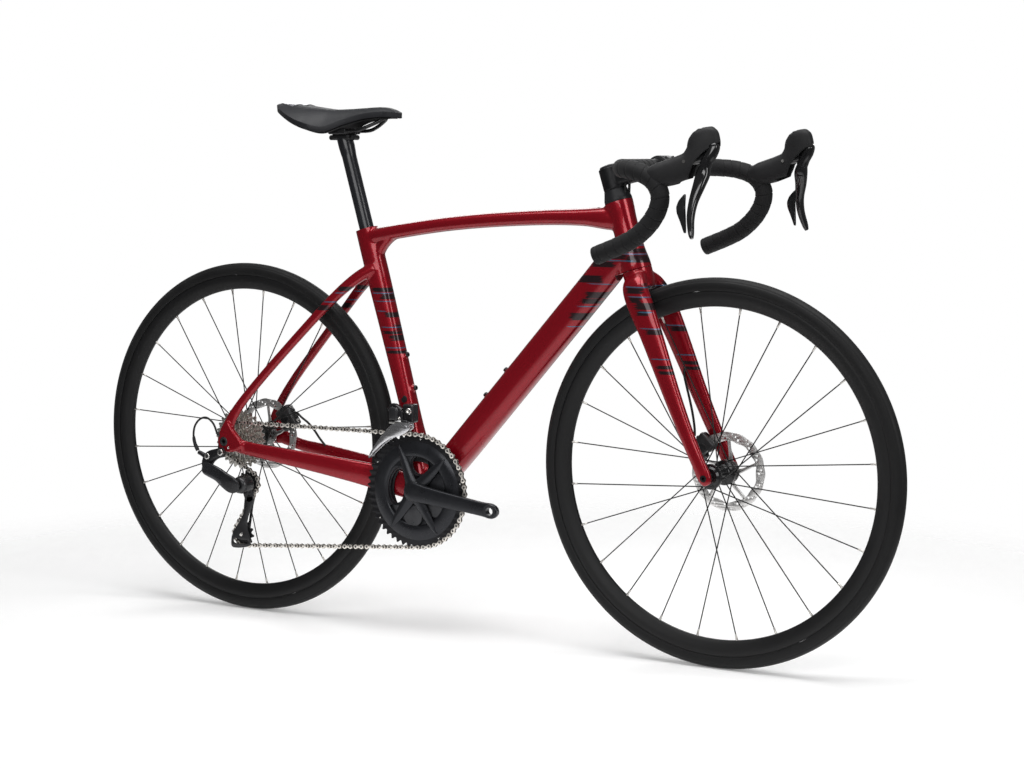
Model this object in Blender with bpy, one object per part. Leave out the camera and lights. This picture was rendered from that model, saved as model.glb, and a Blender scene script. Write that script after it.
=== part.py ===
"""Road bicycle with drop bars, disc brakes and a two-by-eleven drivetrain.

Every separate piece is one closed solid. Metres; +X forward, +Y to the rider's left, +Z up.
The origin is on the ground, midway between the two axles. The drivetrain is on the -Y side.
"""

import math

import bmesh
import bpy
from mathutils import Matrix, Vector

# Wheels
AXLE_X = 0.504
TYRE_TUBE_R = 0.015
WHEEL_R = 0.3405
RIM_TOP_R = WHEEL_R - 1.5 * TYRE_TUBE_R - 0.0003
RIM_DEPTH = 0.0275
WHEEL_SIDES = 40
SPOKES = 24
SPOKE_R = 0.0009
AXLE_R = 0.006
AXLE_HOLE_R = 0.0063
ROTOR_R = 0.070
ROTOR_HALF = 0.0009
FRONT_ROTOR_Y = 0.039
REAR_ROTOR_Y = 0.060

# Steering
HEAD_ANGLE = math.radians(72.8)
FORK_RAKE = 0.050
STEERER_R = 0.0143
HEAD_LOW = 0.366
HEAD_HIGH = 0.489

# Drivetrain
BB_X = -0.086
BB_Z = 0.272
BB_HALF = 0.0428
BB_BORE_R = 0.0205
PITCH = 0.0127
RING_TEETH = 52
SMALL_RING_TEETH = 36
COG_TEETH = 17
COGS = (11, 12, 13, 14, 15, 17, 19, 21, 23, 25, 28)
COG_STEP = 0.0038
PULLEY_TEETH = 11
CHAIN_Y = -0.048
SMALL_RING_Y = -0.0405
TOOTH_HALF = 0.0009
CRANK_LENGTH = 0.1725
CRANK_DROP = math.radians(7.0)
PEDAL_FACE_Y = 0.0735
PEDAL_HOLE_R = 0.0071
GUIDE = (-0.4706, 0.2587)
TENSION = (-0.4853, 0.1569)

# Seat
SEAT_ANGLE = math.radians(74.0)
SEAT_TUBE_X = -0.0868
SEAT_TUBE_TOP = 0.499
SEATPOST_R = 0.0136
RAIL_Y = 0.022
RAIL_Z = 0.9345

# Cockpit
BAR_R = 0.0119
BAR_CLAMP_R = 0.0159
TAPE_R = 0.0158
BAR_SIDES = 8
STEM_LOW = 0.5112
STEM_HIGH = 0.5512
LEVER_PIVOT = (0.5364, 0.2005, 0.8790)
BLADE_PIVOT = (0.573, 0.2005, 0.880)
PADDLE_PIVOT = (0.540, 0.226, 0.832)

GAP = 0.0003
Y_AXIS = Vector((0, 1, 0))
FLAT_TO_SIDE = Matrix.Rotation(math.pi / 2, 4, "X")

RED = (0.33, 0.012, 0.02)
BLACK = (0.012, 0.012, 0.013)
DARK = (0.03, 0.03, 0.033)
SILVER = (0.62, 0.62, 0.62)


# ---------------------------------------------------------------- mesh helpers


def clear_scene():
    for thing in list(bpy.data.objects):
        bpy.data.objects.remove(thing, do_unlink=True)


def to_object(bm, name="shape"):
    """Turn a bmesh into an object with its faces pointing out."""
    bmesh.ops.recalc_face_normals(bm, faces=bm.faces)
    mesh = bpy.data.meshes.new(name)
    bm.to_mesh(mesh)
    bm.free()
    shape = bpy.data.objects.new(name, mesh)
    bpy.context.scene.collection.objects.link(shape)
    return shape


def loft(rings, closed=False):
    """Skin equal rings of points; an open loft gets flat end caps."""
    bm = bmesh.new()
    rows = [[bm.verts.new(point) for point in ring] for ring in rings]
    count = len(rows[0])
    pairs = list(zip(rows, rows[1:]))
    if closed:
        pairs.append((rows[-1], rows[0]))
    for low, high in pairs:
        for i in range(count):
            j = (i + 1) % count
            bm.faces.new((low[i], low[j], high[j], high[i]))
    if not closed:
        bm.faces.new(rows[0])
        bm.faces.new(rows[-1])
    return to_object(bm)


def curve_through(rows, steps):
    """Catmull-Rom samples through rows of numbers, with steps samples to each span."""
    out = []
    last = len(rows) - 1
    for i in range(last):
        p0, p1, p2, p3 = (rows[max(0, min(last, i + k))] for k in (-1, 0, 1, 2))
        for step in range(steps):
            t = step / steps
            out.append([0.5 * (2 * b + (c - a) * t + (2 * a - 5 * b + 4 * c - d) * t * t
                               + (3 * b - a - 3 * c + d) * t ** 3)
                        for a, b, c, d in zip(p0, p1, p2, p3)])
    out.append(list(rows[last]))
    return out


def sweep(rows, sides=12, power=2.0, side=Y_AXIS, closed=False):
    """Skin superellipses along rows of (x, y, z, depth, width); width lies along side."""
    points = [Vector(row[:3]) for row in rows]
    rings = []
    count = len(points)
    for i, point in enumerate(points):
        ahead = points[(i + 1) % count] if closed else points[min(i + 1, count - 1)]
        behind = points[i - 1] if closed else points[max(i - 1, 0)]
        along = (ahead - behind).normalized()
        side = (side - along * side.dot(along)).normalized()
        across = along.cross(side)
        ring = []
        for k in range(sides):
            angle = 2 * math.pi * (k + 0.5) / sides
            c, s = math.cos(angle), math.sin(angle)
            u = math.copysign(abs(c) ** (2 / power), c)
            v = math.copysign(abs(s) ** (2 / power), s)
            ring.append(point + side * u * rows[i][4] + across * v * rows[i][3])
        rings.append(ring)
    return loft(rings, closed)


def round_rows(points, radius):
    return [(*point, radius, radius) for point in points]


def mirrored(rows, sign):
    """Rows with their y multiplied by sign."""
    return [(row[0], sign * row[1], *row[2:]) for row in rows]


def rod(start, end, radius, sides=16):
    start, end = Vector(start), Vector(end)
    along = (end - start).normalized()
    side = Vector((1, 0, 0)) if abs(along.x) < 0.9 else Y_AXIS
    return sweep(round_rows((start, end), radius), sides, side=side)


def turned_solid(profile, place, sides=24):
    """Turn (radius, height) pairs about the local Z axis; the ends are closed flat."""
    rings = []
    for radius, height in profile:
        rings.append([place @ Vector((radius * math.cos(a), radius * math.sin(a), height))
                      for a in (2 * math.pi * k / sides for k in range(sides))])
    return loft(rings)


def turned_ring(profile, place, sides=24):
    """Turn a closed (radius, height) outline about the local Z axis."""
    rings = []
    for k in range(sides):
        c, s = math.cos(2 * math.pi * k / sides), math.sin(2 * math.pi * k / sides)
        rings.append([place @ Vector((radius * c, radius * s, height)) for radius, height in profile])
    return loft(rings, closed=True)


def circle(radius, sides, centre=(0, 0), start=0.0):
    return [(centre[0] + radius * math.cos(start + 2 * math.pi * k / sides),
             centre[1] + radius * math.sin(start + 2 * math.pi * k / sides)) for k in range(sides)]


def gear_outline(teeth, centre=(0, 0), start=0.0):
    """Outline of a sprocket, with three points to a tooth."""
    pitch_r = pitch_radius(teeth)
    step = 2 * math.pi / teeth
    points = []
    for k in range(teeth):
        for share, rise in ((-0.28, -0.0032), (0.0, 0.0016), (0.28, -0.0032)):
            angle = start + (k + share) * step
            points.append((centre[0] + (pitch_r + rise) * math.cos(angle),
                           centre[1] + (pitch_r + rise) * math.sin(angle)))
    return points


def pitch_radius(teeth):
    return PITCH / (2 * math.sin(math.pi / teeth))


def plate(outlines, y, half, place=FLAT_TO_SIDE):
    """Extrude outlines in the XZ plane by half each way of y; the inner ones are holes."""
    curve = bpy.data.curves.new("outline", "CURVE")
    curve.dimensions = "2D"
    curve.fill_mode = "BOTH"
    curve.extrude = half
    for outline in outlines:
        spline = curve.splines.new("POLY")
        spline.points.add(len(outline) - 1)
        for point, (x, z) in zip(spline.points, outline):
            point.co = (x, z, 0, 1)
        spline.use_cyclic_u = True
    guide = bpy.data.objects.new("outline", curve)
    bpy.context.scene.collection.objects.link(guide)
    bpy.context.view_layer.update()
    mesh = bpy.data.meshes.new_from_object(guide.evaluated_get(bpy.context.evaluated_depsgraph_get()))
    bpy.data.objects.remove(guide, do_unlink=True)
    bm = bmesh.new()
    bm.from_mesh(mesh)
    bmesh.ops.remove_doubles(bm, verts=bm.verts, dist=1e-6)
    bmesh.ops.transform(bm, matrix=Matrix.Translation((0, y, 0)) @ place, verts=bm.verts)
    return to_object(bm)


def box(low, high, place=Matrix.Identity(4)):
    bm = bmesh.new()
    bmesh.ops.create_cube(bm, size=1)
    size = Vector(high) - Vector(low)
    middle = (Vector(high) + Vector(low)) / 2
    bmesh.ops.transform(bm, matrix=place @ Matrix.Translation(middle) @ Matrix.Diagonal((*size, 1)),
                        verts=bm.verts)
    return to_object(bm)


def combine(base, tools, operation="UNION"):
    """Apply exact booleans to base, one tool after the other, and remove the tools."""
    for tool in tools:
        modifier = base.modifiers.new("boolean", "BOOLEAN")
        modifier.operation = operation
        modifier.solver = "EXACT"
        modifier.object = tool
        bpy.context.view_layer.update()
        graph = bpy.context.evaluated_depsgraph_get()
        mesh = bpy.data.meshes.new_from_object(base.evaluated_get(graph))
        base.modifiers.clear()
        base.data = mesh
        bpy.data.objects.remove(tool, do_unlink=True)
    return base


def cut(base, *tools):
    return combine(base, tools, "DIFFERENCE")


def join(base, *tools):
    return combine(base, tools, "UNION")


def merged(shapes):
    """One object holding several solids that don't touch, to be used as one boolean tool."""
    bm = bmesh.new()
    for shape in shapes:
        bm.from_mesh(shape.data)
        bpy.data.objects.remove(shape, do_unlink=True)
    return to_object(bm)


def piece(name, shape, colour, roughness=0.5, metallic=0.0, pivot=None):
    """Name a finished solid, give it its material and hang it on its pivot."""
    shape.name = name
    shape.data.name = name
    material = bpy.data.materials.new(name)
    material.use_nodes = True
    shader = material.node_tree.nodes["Principled BSDF"]
    shader.inputs["Base Color"].default_value = (*colour, 1)
    shader.inputs["Roughness"].default_value = roughness
    shader.inputs["Metallic"].default_value = metallic
    shape.data.materials.clear()
    shape.data.materials.append(material)
    shape.data.shade_smooth()
    shape.data.set_sharp_from_angle(angle=math.radians(35))
    if pivot:
        shape.parent = pivot
        shape.matrix_parent_inverse = pivot.matrix_world.inverted()
    return shape


def pivot_at(name, place, parent=None):
    """An empty on a joint's axis, which carries the pieces that turn or slide there."""
    empty = bpy.data.objects.new(name, None)
    bpy.context.scene.collection.objects.link(empty)
    empty.location = place
    empty.empty_display_size = 0.03
    bpy.context.view_layer.update()
    if parent:
        empty.parent = parent
        empty.matrix_parent_inverse = parent.matrix_world.inverted()
        bpy.context.view_layer.update()
    return empty


def place_along(origin, direction):
    """A matrix whose local Z runs along direction from origin."""
    return Matrix.Translation(origin) @ Vector(direction).to_track_quat("Z", "Y").to_matrix().to_4x4()


# ---------------------------------------------------------------- reference lines


def steer(height, forward=0.0, y=0.0):
    """A point by its height up the steering axis and its distance in front of it."""
    rise = Vector((-math.cos(HEAD_ANGLE), 0, math.sin(HEAD_ANGLE)))
    front = Vector((math.sin(HEAD_ANGLE), 0, math.cos(HEAD_ANGLE)))
    foot = Vector((AXLE_X - FORK_RAKE / math.sin(HEAD_ANGLE), y, WHEEL_R))
    return foot + rise * height + front * forward


def seat(height, y=0.0):
    """A point on the seat tube's axis."""
    rise = Vector((-math.cos(SEAT_ANGLE), 0, math.sin(SEAT_ANGLE)))
    return Vector((SEAT_TUBE_X, y, BB_Z)) + rise * height


STEER_PLACE = place_along(steer(0), steer(1) - steer(0))
SEAT_PLACE = place_along(seat(0), seat(1) - seat(0))


def about_y(x, z):
    """Local Z along +Y at a point of the middle plane."""
    return place_along((x, 0, z), Y_AXIS)


# ---------------------------------------------------------------- wheels


def tyre_profile():
    middle = WHEEL_R - TYRE_TUBE_R
    angles = [math.radians(a) for a in (-120, -80, -40, 0, 40, 80, 120)]
    return [(middle + TYRE_TUBE_R * math.cos(a), TYRE_TUBE_R * math.sin(a)) for a in angles]


def rim_profile():
    foot = RIM_TOP_R - RIM_DEPTH
    half = ((RIM_TOP_R, 0.0122), (RIM_TOP_R - 0.011, 0.0130), (foot, 0.0040))
    return list(half) + [(r, -y) for r, y in reversed(half)]


def spokes(place, left_y, right_y):
    """Two-cross lacing: each flange's spokes leave by turns forwards and backwards."""
    rods = []
    foot = (RIM_TOP_R - RIM_DEPTH) * math.cos(math.pi / WHEEL_SIDES) - 0.0010
    cross = math.radians(60)
    for side, y in enumerate((left_y, right_y)):
        for k in range(SPOKES // 2):
            lean = 1 if k % 2 else -1
            hub_angle = 2 * math.pi * (k + side / 2 + 0.25) / (SPOKES // 2)
            rim_angle = hub_angle + lean * cross
            start = (0.0195 * math.cos(hub_angle), 0.0195 * math.sin(hub_angle), y + lean * 0.0015)
            end = (foot * math.cos(rim_angle), foot * math.sin(rim_angle), 0)
            rods.append(rod(place @ Vector(start), place @ Vector(end), SPOKE_R, 4))
    return rods


def hub_profile(ends, left_y, right_y, rotor_y):
    """Outline of a hub shell, bored for its axle, with a neck that carries the rotor."""
    low, high = ends
    return [(AXLE_HOLE_R, low), (0.0085, low), (0.0085, right_y - 0.0070),
            (0.0220, right_y - 0.003), (0.0220, right_y + 0.003), (0.0110, right_y + 0.009),
            (0.0110, left_y - 0.009), (0.0220, left_y - 0.003), (0.0220, left_y + 0.003),
            (0.0160, left_y + 0.006), (0.0160, rotor_y + 0.003), (0.0085, rotor_y + 0.004),
            (0.0085, high), (AXLE_HOLE_R, high)]


def rotor(name, axle_x, y, pivot):
    """A brake disc: a braking track on five arms round a splined centre."""
    windows = []
    for k in range(5):
        start = 2 * math.pi * k / 5
        angles = [start + math.radians(a) for a in (9, 33, 57)]
        inner = [(0.0255 * math.cos(a), 0.0255 * math.sin(a)) for a in reversed(angles)]
        outer = [(0.0545 * math.cos(a + 0.16), 0.0545 * math.sin(a + 0.16)) for a in angles]
        windows.append([(axle_x + u, WHEEL_R + v) for u, v in outer + inner])
    centre = (axle_x, WHEEL_R)
    outlines = [circle(ROTOR_R, 32, centre), circle(0.0175, 14, centre)] + windows
    piece(name, plate(outlines, y, ROTOR_HALF), SILVER, 0.3, 1.0, pivot)


def wheel(prefix, axle_x, ends, flanges, rotor_y, pivot):
    left_y, right_y = flanges
    place = about_y(axle_x, WHEEL_R)
    tyre = turned_ring(tyre_profile(), place, WHEEL_SIDES)
    piece(prefix + "_tyre", tyre, BLACK, 0.8, 0.0, pivot)
    rim = turned_ring(rim_profile(), place, WHEEL_SIDES)
    piece(prefix + "_rim", rim, BLACK, 0.55, 0.0, pivot)
    hub = turned_ring(hub_profile(ends, left_y, right_y, rotor_y), place, 14)
    laced = join(hub, merged(spokes(place, left_y, right_y)))
    piece(prefix + "_hub", laced, BLACK, 0.4, 0.6, pivot)
    rotor(prefix + "_rotor", axle_x, rotor_y, pivot)


def thru_axle(name, axle_x, low, high, head):
    """A threaded rod with a domed head on its left end."""
    place = about_y(axle_x, WHEEL_R)
    profile = [(AXLE_R, low), (AXLE_R, high), (head, high), (head, high + 0.002),
               (0.7 * head, high + 0.0035)]
    return name, turned_solid(profile, place, 16)


def caliper(axle_x, rotor_y, lean):
    """A two-lobed brake body that straddles the rotor at the angle lean from forward."""
    turn = Matrix.Rotation(-lean, 4, "Y")
    place = Matrix.Translation((axle_x, rotor_y, WHEEL_R)) @ turn
    body = box((0.043, -0.0135, -0.024), (0.081, 0.0085, 0.024), place)
    bevel = body.modifiers.new("bevel", "BEVEL")
    bevel.width = 0.003
    bevel.segments = 1
    slot = box((0.030, -0.0037, -0.040), (0.0725, 0.0037, 0.040), place)
    return cut(body, slot)


# ---------------------------------------------------------------- frame


CHAINSTAY = [(-0.078, 0.020, 0.2690, 0.0190, 0.0120), (-0.105, 0.0265, 0.2730, 0.0215, 0.0105),
             (-0.130, 0.0290, 0.2785, 0.0230, 0.0088), (-0.160, 0.0300, 0.2850, 0.0235, 0.0082),
             (-0.195, 0.0350, 0.2915, 0.0228, 0.0082), (-0.240, 0.0445, 0.2995, 0.0205, 0.0080),
             (-0.300, 0.0540, 0.3085, 0.0180, 0.0072), (-0.370, 0.0635, 0.3180, 0.0155, 0.0066),
             (-0.430, 0.0695, 0.3255, 0.0135, 0.0058), (-0.470, 0.0735, 0.3320, 0.0135, 0.0043),
             (-0.492, 0.0748, 0.3385, 0.0145, 0.0036), (-0.512, 0.0748, 0.3405, 0.0120, 0.0036)]
SEATSTAY = [(-0.200, 0.010, 0.680, 0.0110, 0.0100), (-0.229, 0.0200, 0.6630, 0.0105, 0.0090),
            (-0.2635, 0.0310, 0.6350, 0.0092, 0.0075), (-0.3100, 0.0420, 0.5890, 0.0083, 0.0066),
            (-0.3700, 0.0520, 0.5270, 0.0080, 0.0062), (-0.4285, 0.0610, 0.4650, 0.0080, 0.0060),
            (-0.4680, 0.0685, 0.4190, 0.0084, 0.0055), (-0.4890, 0.0735, 0.3880, 0.0100, 0.0043),
            (-0.4995, 0.0748, 0.3640, 0.0120, 0.0036), (-0.5040, 0.0748, 0.3440, 0.0125, 0.0036)]
STAY_SPLIT = 2


def split_loft(rows, sign, sides=8):
    """A stay in two lofts, with a square gap where it is bonded to the frame: (front, rear)."""
    rows = mirrored(rows, sign)
    middle = rows[STAY_SPLIT]
    along = (Vector(rows[STAY_SPLIT + 1][:3]) - Vector(rows[STAY_SPLIT - 1][:3])).normalized()
    ends = [(*(Vector(middle[:3]) + along * shift), *middle[3:]) for shift in (-0.004, 0, GAP, 0.004)]
    front = rows[:STAY_SPLIT] + ends[:2]
    rear = ends[2:] + rows[STAY_SPLIT + 1:]
    return sweep(front, sides, 2.3), sweep(rear, sides, 2.3)


def slimmer(rows):
    """The chainstay of the side without a chain: shallower, with its top edge lower."""
    body = [(x, y, z - 0.0035, 0.84 * depth, width) for x, y, z, depth, width in rows[:-3]]
    return body + rows[-3:]


def down_tube():
    rows = [(-0.0770, 0, 0.2790, 0.0235, 0.0370), (-0.0187, 0, 0.3440, 0.0272, 0.0290),
            (0.0745, 0, 0.4490, 0.0282, 0.0245), (0.1721, 0, 0.5590, 0.0282, 0.0235),
            (0.2520, 0, 0.6490, 0.0280, 0.0240), (0.2960, 0, 0.6995, 0.0275, 0.0240),
            (0.3220, 0, 0.7300, 0.0220, 0.0215)]
    return sweep(rows, 12, 2.5)


def seat_tube():
    """Stations up the tube: height, shift backwards, half depth, half width."""
    sizes = [(0.012, 0.0020, 0.0180, 0.0330), (0.060, 0.0020, 0.0165, 0.0250),
             (0.107, 0.0018, 0.0155, 0.0195), (0.172, 0.0012, 0.0165, 0.0175),
             (0.289, 0.0005, 0.0190, 0.0172), (0.397, 0.0, 0.0212, 0.0172),
             (0.455, 0.0, 0.0213, 0.0172), (SEAT_TUBE_TOP, 0.0, 0.0205, 0.0175)]
    back = Vector((-math.sin(SEAT_ANGLE), 0, -math.cos(SEAT_ANGLE)))
    return sweep([(*(seat(height) + back * shift), depth, width) for height, shift, depth, width in sizes],
                 12, 2.3)


def top_tube():
    rows = [(-0.2200, 0, 0.7360, 0.0135, 0.0165), (-0.1650, 0, 0.7460, 0.0125, 0.0165),
            (-0.0600, 0, 0.7615, 0.0122, 0.0175), (0.0410, 0, 0.7715, 0.0124, 0.0180),
            (0.1500, 0, 0.7780, 0.0130, 0.0190), (0.2350, 0, 0.7800, 0.0148, 0.0210),
            (0.2850, 0, 0.7790, 0.0195, 0.0225), (0.3080, 0, 0.7780, 0.0200, 0.0200)]
    return sweep(rows, 12, 2.5)


def gusset():
    """The web that fills the corner between the seat tube and the top tube."""
    rows = [(-0.2010, 0, 0.7000, 0.0090, 0.0112), (-0.1905, 0, 0.7200, 0.0100, 0.0122),
            (-0.1750, 0, 0.7340, 0.0085, 0.0122), (-0.1560, 0, 0.7430, 0.0060, 0.0112)]
    return sweep(rows, 8, 2.2)


def head_tube():
    profile = [(0.0265, HEAD_LOW), (0.0262, HEAD_LOW + 0.012), (0.0232, HEAD_LOW + 0.038),
               (0.0228, HEAD_HIGH - 0.040), (0.0245, HEAD_HIGH - 0.012), (0.0250, HEAD_HIGH)]
    return turned_solid(profile, STEER_PLACE, 20)


def bottle_bosses():
    """Two threaded bosses on the down tube and two on the seat tube, 64 mm apart."""
    bosses = []
    normal = Vector((-0.748, 0, 0.664))
    along = Vector((0.664, 0, 0.748))
    for shift in (0, 0.064):
        middle = Vector((0.0265, 0, 0.3969)) + along * (0.080 + shift - 0.032)
        bosses.append(rod(middle, middle + normal * 0.0300, 0.0055, 10))
    front = Vector((math.sin(SEAT_ANGLE), 0, math.cos(SEAT_ANGLE)))
    for height in (0.187, 0.251):
        bosses.append(rod(seat(height), seat(height) + front * 0.0205, 0.0055, 10))
    return bosses


def frame_bores():
    """Cutters for the bottom bracket, the steerer with its two bearing seats, and the seatpost."""
    bracket = rod((BB_X, -0.1, BB_Z), (BB_X, 0.1, BB_Z), BB_BORE_R, 20)
    profile = [(0.0245, HEAD_LOW - 0.01), (0.0245, HEAD_LOW + 0.0105), (0.0165, HEAD_LOW + 0.0105),
               (0.0165, HEAD_HIGH - 0.0105), (0.0212, HEAD_HIGH - 0.0105), (0.0212, HEAD_HIGH + 0.01)]
    steerer = turned_solid(profile, STEER_PLACE, 20)
    post = turned_solid([(SEATPOST_R + GAP, 0.280), (SEATPOST_R + GAP, 0.6)], SEAT_PLACE, 20)
    return bracket, steerer, post


def build_frame():
    shell = rod((BB_X, -BB_HALF, BB_Z), (BB_X, BB_HALF, BB_Z), 0.0245, 20)
    stubs, rears = [], {}
    for sign, name in ((-1, "right"), (1, "left")):
        chain_front, chain_rear = split_loft(slimmer(CHAINSTAY) if sign > 0 else CHAINSTAY, sign)
        seat_front, seat_rear = split_loft(SEATSTAY, sign)
        stubs += [chain_front, seat_front]
        rears[name] = (chain_rear, seat_rear, sign)
    frame = join(shell, down_tube(), seat_tube(), top_tube(), head_tube(), gusset(), *stubs,
                 *bottle_bosses())
    piece("frame", cut(frame, *frame_bores()), RED, 0.25, 0.3)
    for name, (chain_rear, seat_rear, sign) in rears.items():
        dropout = plate([circle(0.0175, 20, (-AXLE_X, WHEEL_R))], sign * 0.0748, 0.0036)
        stay = join(chain_rear, seat_rear, dropout)
        hole = rod((-AXLE_X, sign * 0.06, WHEEL_R), (-AXLE_X, sign * 0.09, WHEEL_R), AXLE_HOLE_R, 16)
        piece("stays_" + name, cut(stay, hole), RED, 0.25, 0.3)


def build_bearings():
    """Headset bearings in the head tube and bottom bracket cups in their shell."""
    seats = (("lower", HEAD_LOW + 0.0015, 0.0242), ("upper", HEAD_HIGH - 0.0100, 0.0209))
    for name, low, outer in seats:
        high = low + 0.0085
        profile = [(STEERER_R + GAP, low), (outer, low), (outer, high), (STEERER_R + GAP, high)]
        ring = turned_ring(profile, STEER_PLACE, 20)
        piece("headset_bearing_" + name, ring, SILVER, 0.3, 1.0)
    for sign, name in ((-1, "right"), (1, "left")):
        edge = BB_HALF + GAP
        profile = [(0.0123, sign * 0.030), (BB_BORE_R - GAP, sign * 0.030), (BB_BORE_R - GAP, sign * edge),
                   (0.0222, sign * edge), (0.0222, sign * (edge + 0.0016)), (0.0123, sign * (edge + 0.0016))]
        cup = turned_ring(profile, about_y(BB_X, BB_Z), 20)
        piece("bottom_bracket_" + name, cup, BLACK, 0.5)


# ---------------------------------------------------------------- fork and cockpit


def fork_leg(sign):
    rows = [(0.352, 0.000, 0.010, 0.0200, 0.0120), (0.338, 0.003, 0.0295, 0.0225, 0.0140),
            (0.318, 0.007, 0.0400, 0.0235, 0.0120), (0.290, 0.0120, 0.0445, 0.0230, 0.0100),
            (0.245, 0.0180, 0.0475, 0.0205, 0.0092), (0.190, 0.0235, 0.0502, 0.0178, 0.0086),
            (0.130, 0.0295, 0.0528, 0.0152, 0.0079), (0.065, 0.0375, 0.0552, 0.0130, 0.0072),
            (0.015, 0.0455, 0.0570, 0.0122, 0.0064), (-0.012, 0.0495, 0.0570, 0.0125, 0.0064),
            (-0.024, 0.0508, 0.0570, 0.0090, 0.0060), (-0.0285, 0.0512, 0.0570, 0.0045, 0.0050)]
    placed = [(*steer(height, forward, sign * y), depth, width)
              for height, forward, y, depth, width in rows]
    return sweep(placed, 10, 2.3)


def build_fork(pivot):
    crown = [(0.0240, 0.332), (0.0262, 0.345), (0.0262, HEAD_LOW - 0.0012), (STEERER_R, HEAD_LOW - 0.0012),
             (STEERER_R, STEM_HIGH - 0.002)]
    fork = join(turned_solid(crown, STEER_PLACE, 20), fork_leg(-1), fork_leg(1))
    hole = rod((AXLE_X, -0.09, WHEEL_R), (AXLE_X, 0.09, WHEEL_R), AXLE_HOLE_R, 16)
    piece("fork", cut(fork, hole), RED, 0.25, 0.3, pivot)
    name, shape = thru_axle("front_thru_axle", AXLE_X, -0.0632, 0.0638, 0.0085)
    piece(name, shape, BLACK, 0.4, 0.6, pivot)
    shape = caliper(AXLE_X, FRONT_ROTOR_Y, math.radians(140))
    piece("front_caliper", shape, BLACK, 0.4, 0.3, pivot)
    route = [(0.4135, 0.0395, 0.5040), (0.4200, 0.0400, 0.4850), (0.4290, 0.0400, 0.4600),
             (0.4350, 0.0395, 0.4350), (0.4390, 0.0385, 0.4120), (0.4400, 0.0370, 0.3990)]
    piece("front_brake_hose", hose(route, 0.0022), BLACK, 0.6, 0.0, pivot)


def hose(route, radius, sides=6):
    """A flexible hose through the points of its route."""
    return sweep(round_rows(curve_through(route, 2), radius), sides)


def stem_line():
    start = steer((STEM_LOW + STEM_HIGH) / 2)
    lean = math.radians(11.2)
    along = Vector((math.cos(lean), 0, math.sin(lean)))
    return start, along, start + along * 0.100


def build_stem(pivot):
    start, along, clamp = stem_line()
    place = place_along(clamp, along)
    across = 0.0215
    hub = turned_solid([(0.0205, STEM_LOW), (0.0205, STEM_HIGH)], STEER_PLACE, 20)
    rows = [(*(start + along * reach), depth, width)
            for reach, depth, width in ((0.006, 0.0170, 0.0170), (0.030, 0.0150, 0.0160),
                                        (0.070, 0.0140, 0.0180), (0.088, 0.0150, 0.0205))]
    grip = rod(clamp + Vector((0, -across, 0)), clamp + Vector((0, across, 0)), 0.0212, 24)
    body = join(hub, sweep(rows, 12, 2.8), grip)
    bore = rod(clamp + Vector((0, -0.05, 0)), clamp + Vector((0, 0.05, 0)), BAR_CLAMP_R + GAP, 24)
    column = turned_solid([(STEERER_R + GAP, STEM_LOW - 0.01), (STEERER_R + GAP, STEM_HIGH + 0.01)],
                          STEER_PLACE, 20)
    front_half = box((-0.05, -0.05, -0.0005), (0.05, 0.05, 0.05), place)
    piece("stem", cut(body, bore, column, front_half), BLACK, 0.45, 0.2, pivot)
    inner = BAR_CLAMP_R + GAP
    profile = [(inner, -across), (0.0212, -across), (0.0212, across), (inner, across)]
    plate_ring = turned_ring(profile, place_along(clamp, Y_AXIS), 24)
    rear_half = box((-0.05, -0.05, -0.05), (0.05, 0.05, 0.0005), place)
    piece("stem_faceplate", cut(plate_ring, rear_half), BLACK, 0.45, 0.2, pivot)
    profile = [(STEERER_R + GAP, HEAD_HIGH + 0.0006), (0.0248, HEAD_HIGH + 0.0006),
               (0.0240, HEAD_HIGH + 0.008), (0.0205, STEM_LOW - GAP), (STEERER_R + GAP, STEM_LOW - GAP)]
    piece("headset_cover", turned_ring(profile, STEER_PLACE, 20), BLACK, 0.5, 0.0, pivot)
    profile = [(0.0175, STEM_HIGH + GAP), (0.0175, STEM_HIGH + 0.003), (0.0150, STEM_HIGH + 0.0045)]
    cap = turned_solid(profile, STEER_PLACE, 20)
    piece("top_cap", cap, BLACK, 0.4, 0.3, pivot)


BAR_PATH = [(0.3920, 0.000, 0.8670), (0.3920, 0.030, 0.8670), (0.3920, 0.060, 0.8670),
            (0.3920, 0.100, 0.8670), (0.3925, 0.135, 0.8670), (0.3975, 0.163, 0.8672),
            (0.4120, 0.187, 0.8668), (0.4380, 0.2010, 0.8640), (0.4640, 0.2062, 0.8560),
            (0.4810, 0.2080, 0.8435), (0.4905, 0.2090, 0.8255), (0.4888, 0.2095, 0.8060),
            (0.4795, 0.2100, 0.7870), (0.4650, 0.2105, 0.7698), (0.4445, 0.2110, 0.7535),
            (0.4180, 0.2115, 0.7405), (0.3890, 0.2118, 0.7290), (0.3755, 0.2120, 0.7238)]
TAPE_START = 2


def bar_samples():
    """Half of the bar's centre line, from the stem to the left end."""
    return curve_through(BAR_PATH, 1)


def build_handlebar(pivot):
    half = bar_samples()
    clamp = stem_line()[2]
    shift = Vector((clamp.x - half[0][0], 0, clamp.z - half[0][2]))
    rows = []
    for x, y, z in half:
        blend = min(1, max(0, (y - 0.032) / 0.026))
        radius = BAR_CLAMP_R + (BAR_R - BAR_CLAMP_R) * blend
        fade = 1 - min(1, y / 0.16)
        rows.append((x + shift.x * fade, y, z + shift.z * fade, radius, radius))
    left = rows[1:]
    right = [(x, -y, z, a, b) for x, y, z, a, b in reversed(left)]
    side = Vector((0, 0, 1))
    bar = sweep(right + rows[:1] + left, BAR_SIDES, side=side)
    piece("handlebar", bar, BLACK, 0.5, 0.2, pivot)
    for sign, name in ((-1, "right"), (1, "left")):
        piece("bar_tape_" + name, bar_tape([rows[k] for k in range(TAPE_START, len(rows))], sign),
              BLACK, 0.85, 0.0, pivot)


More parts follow.
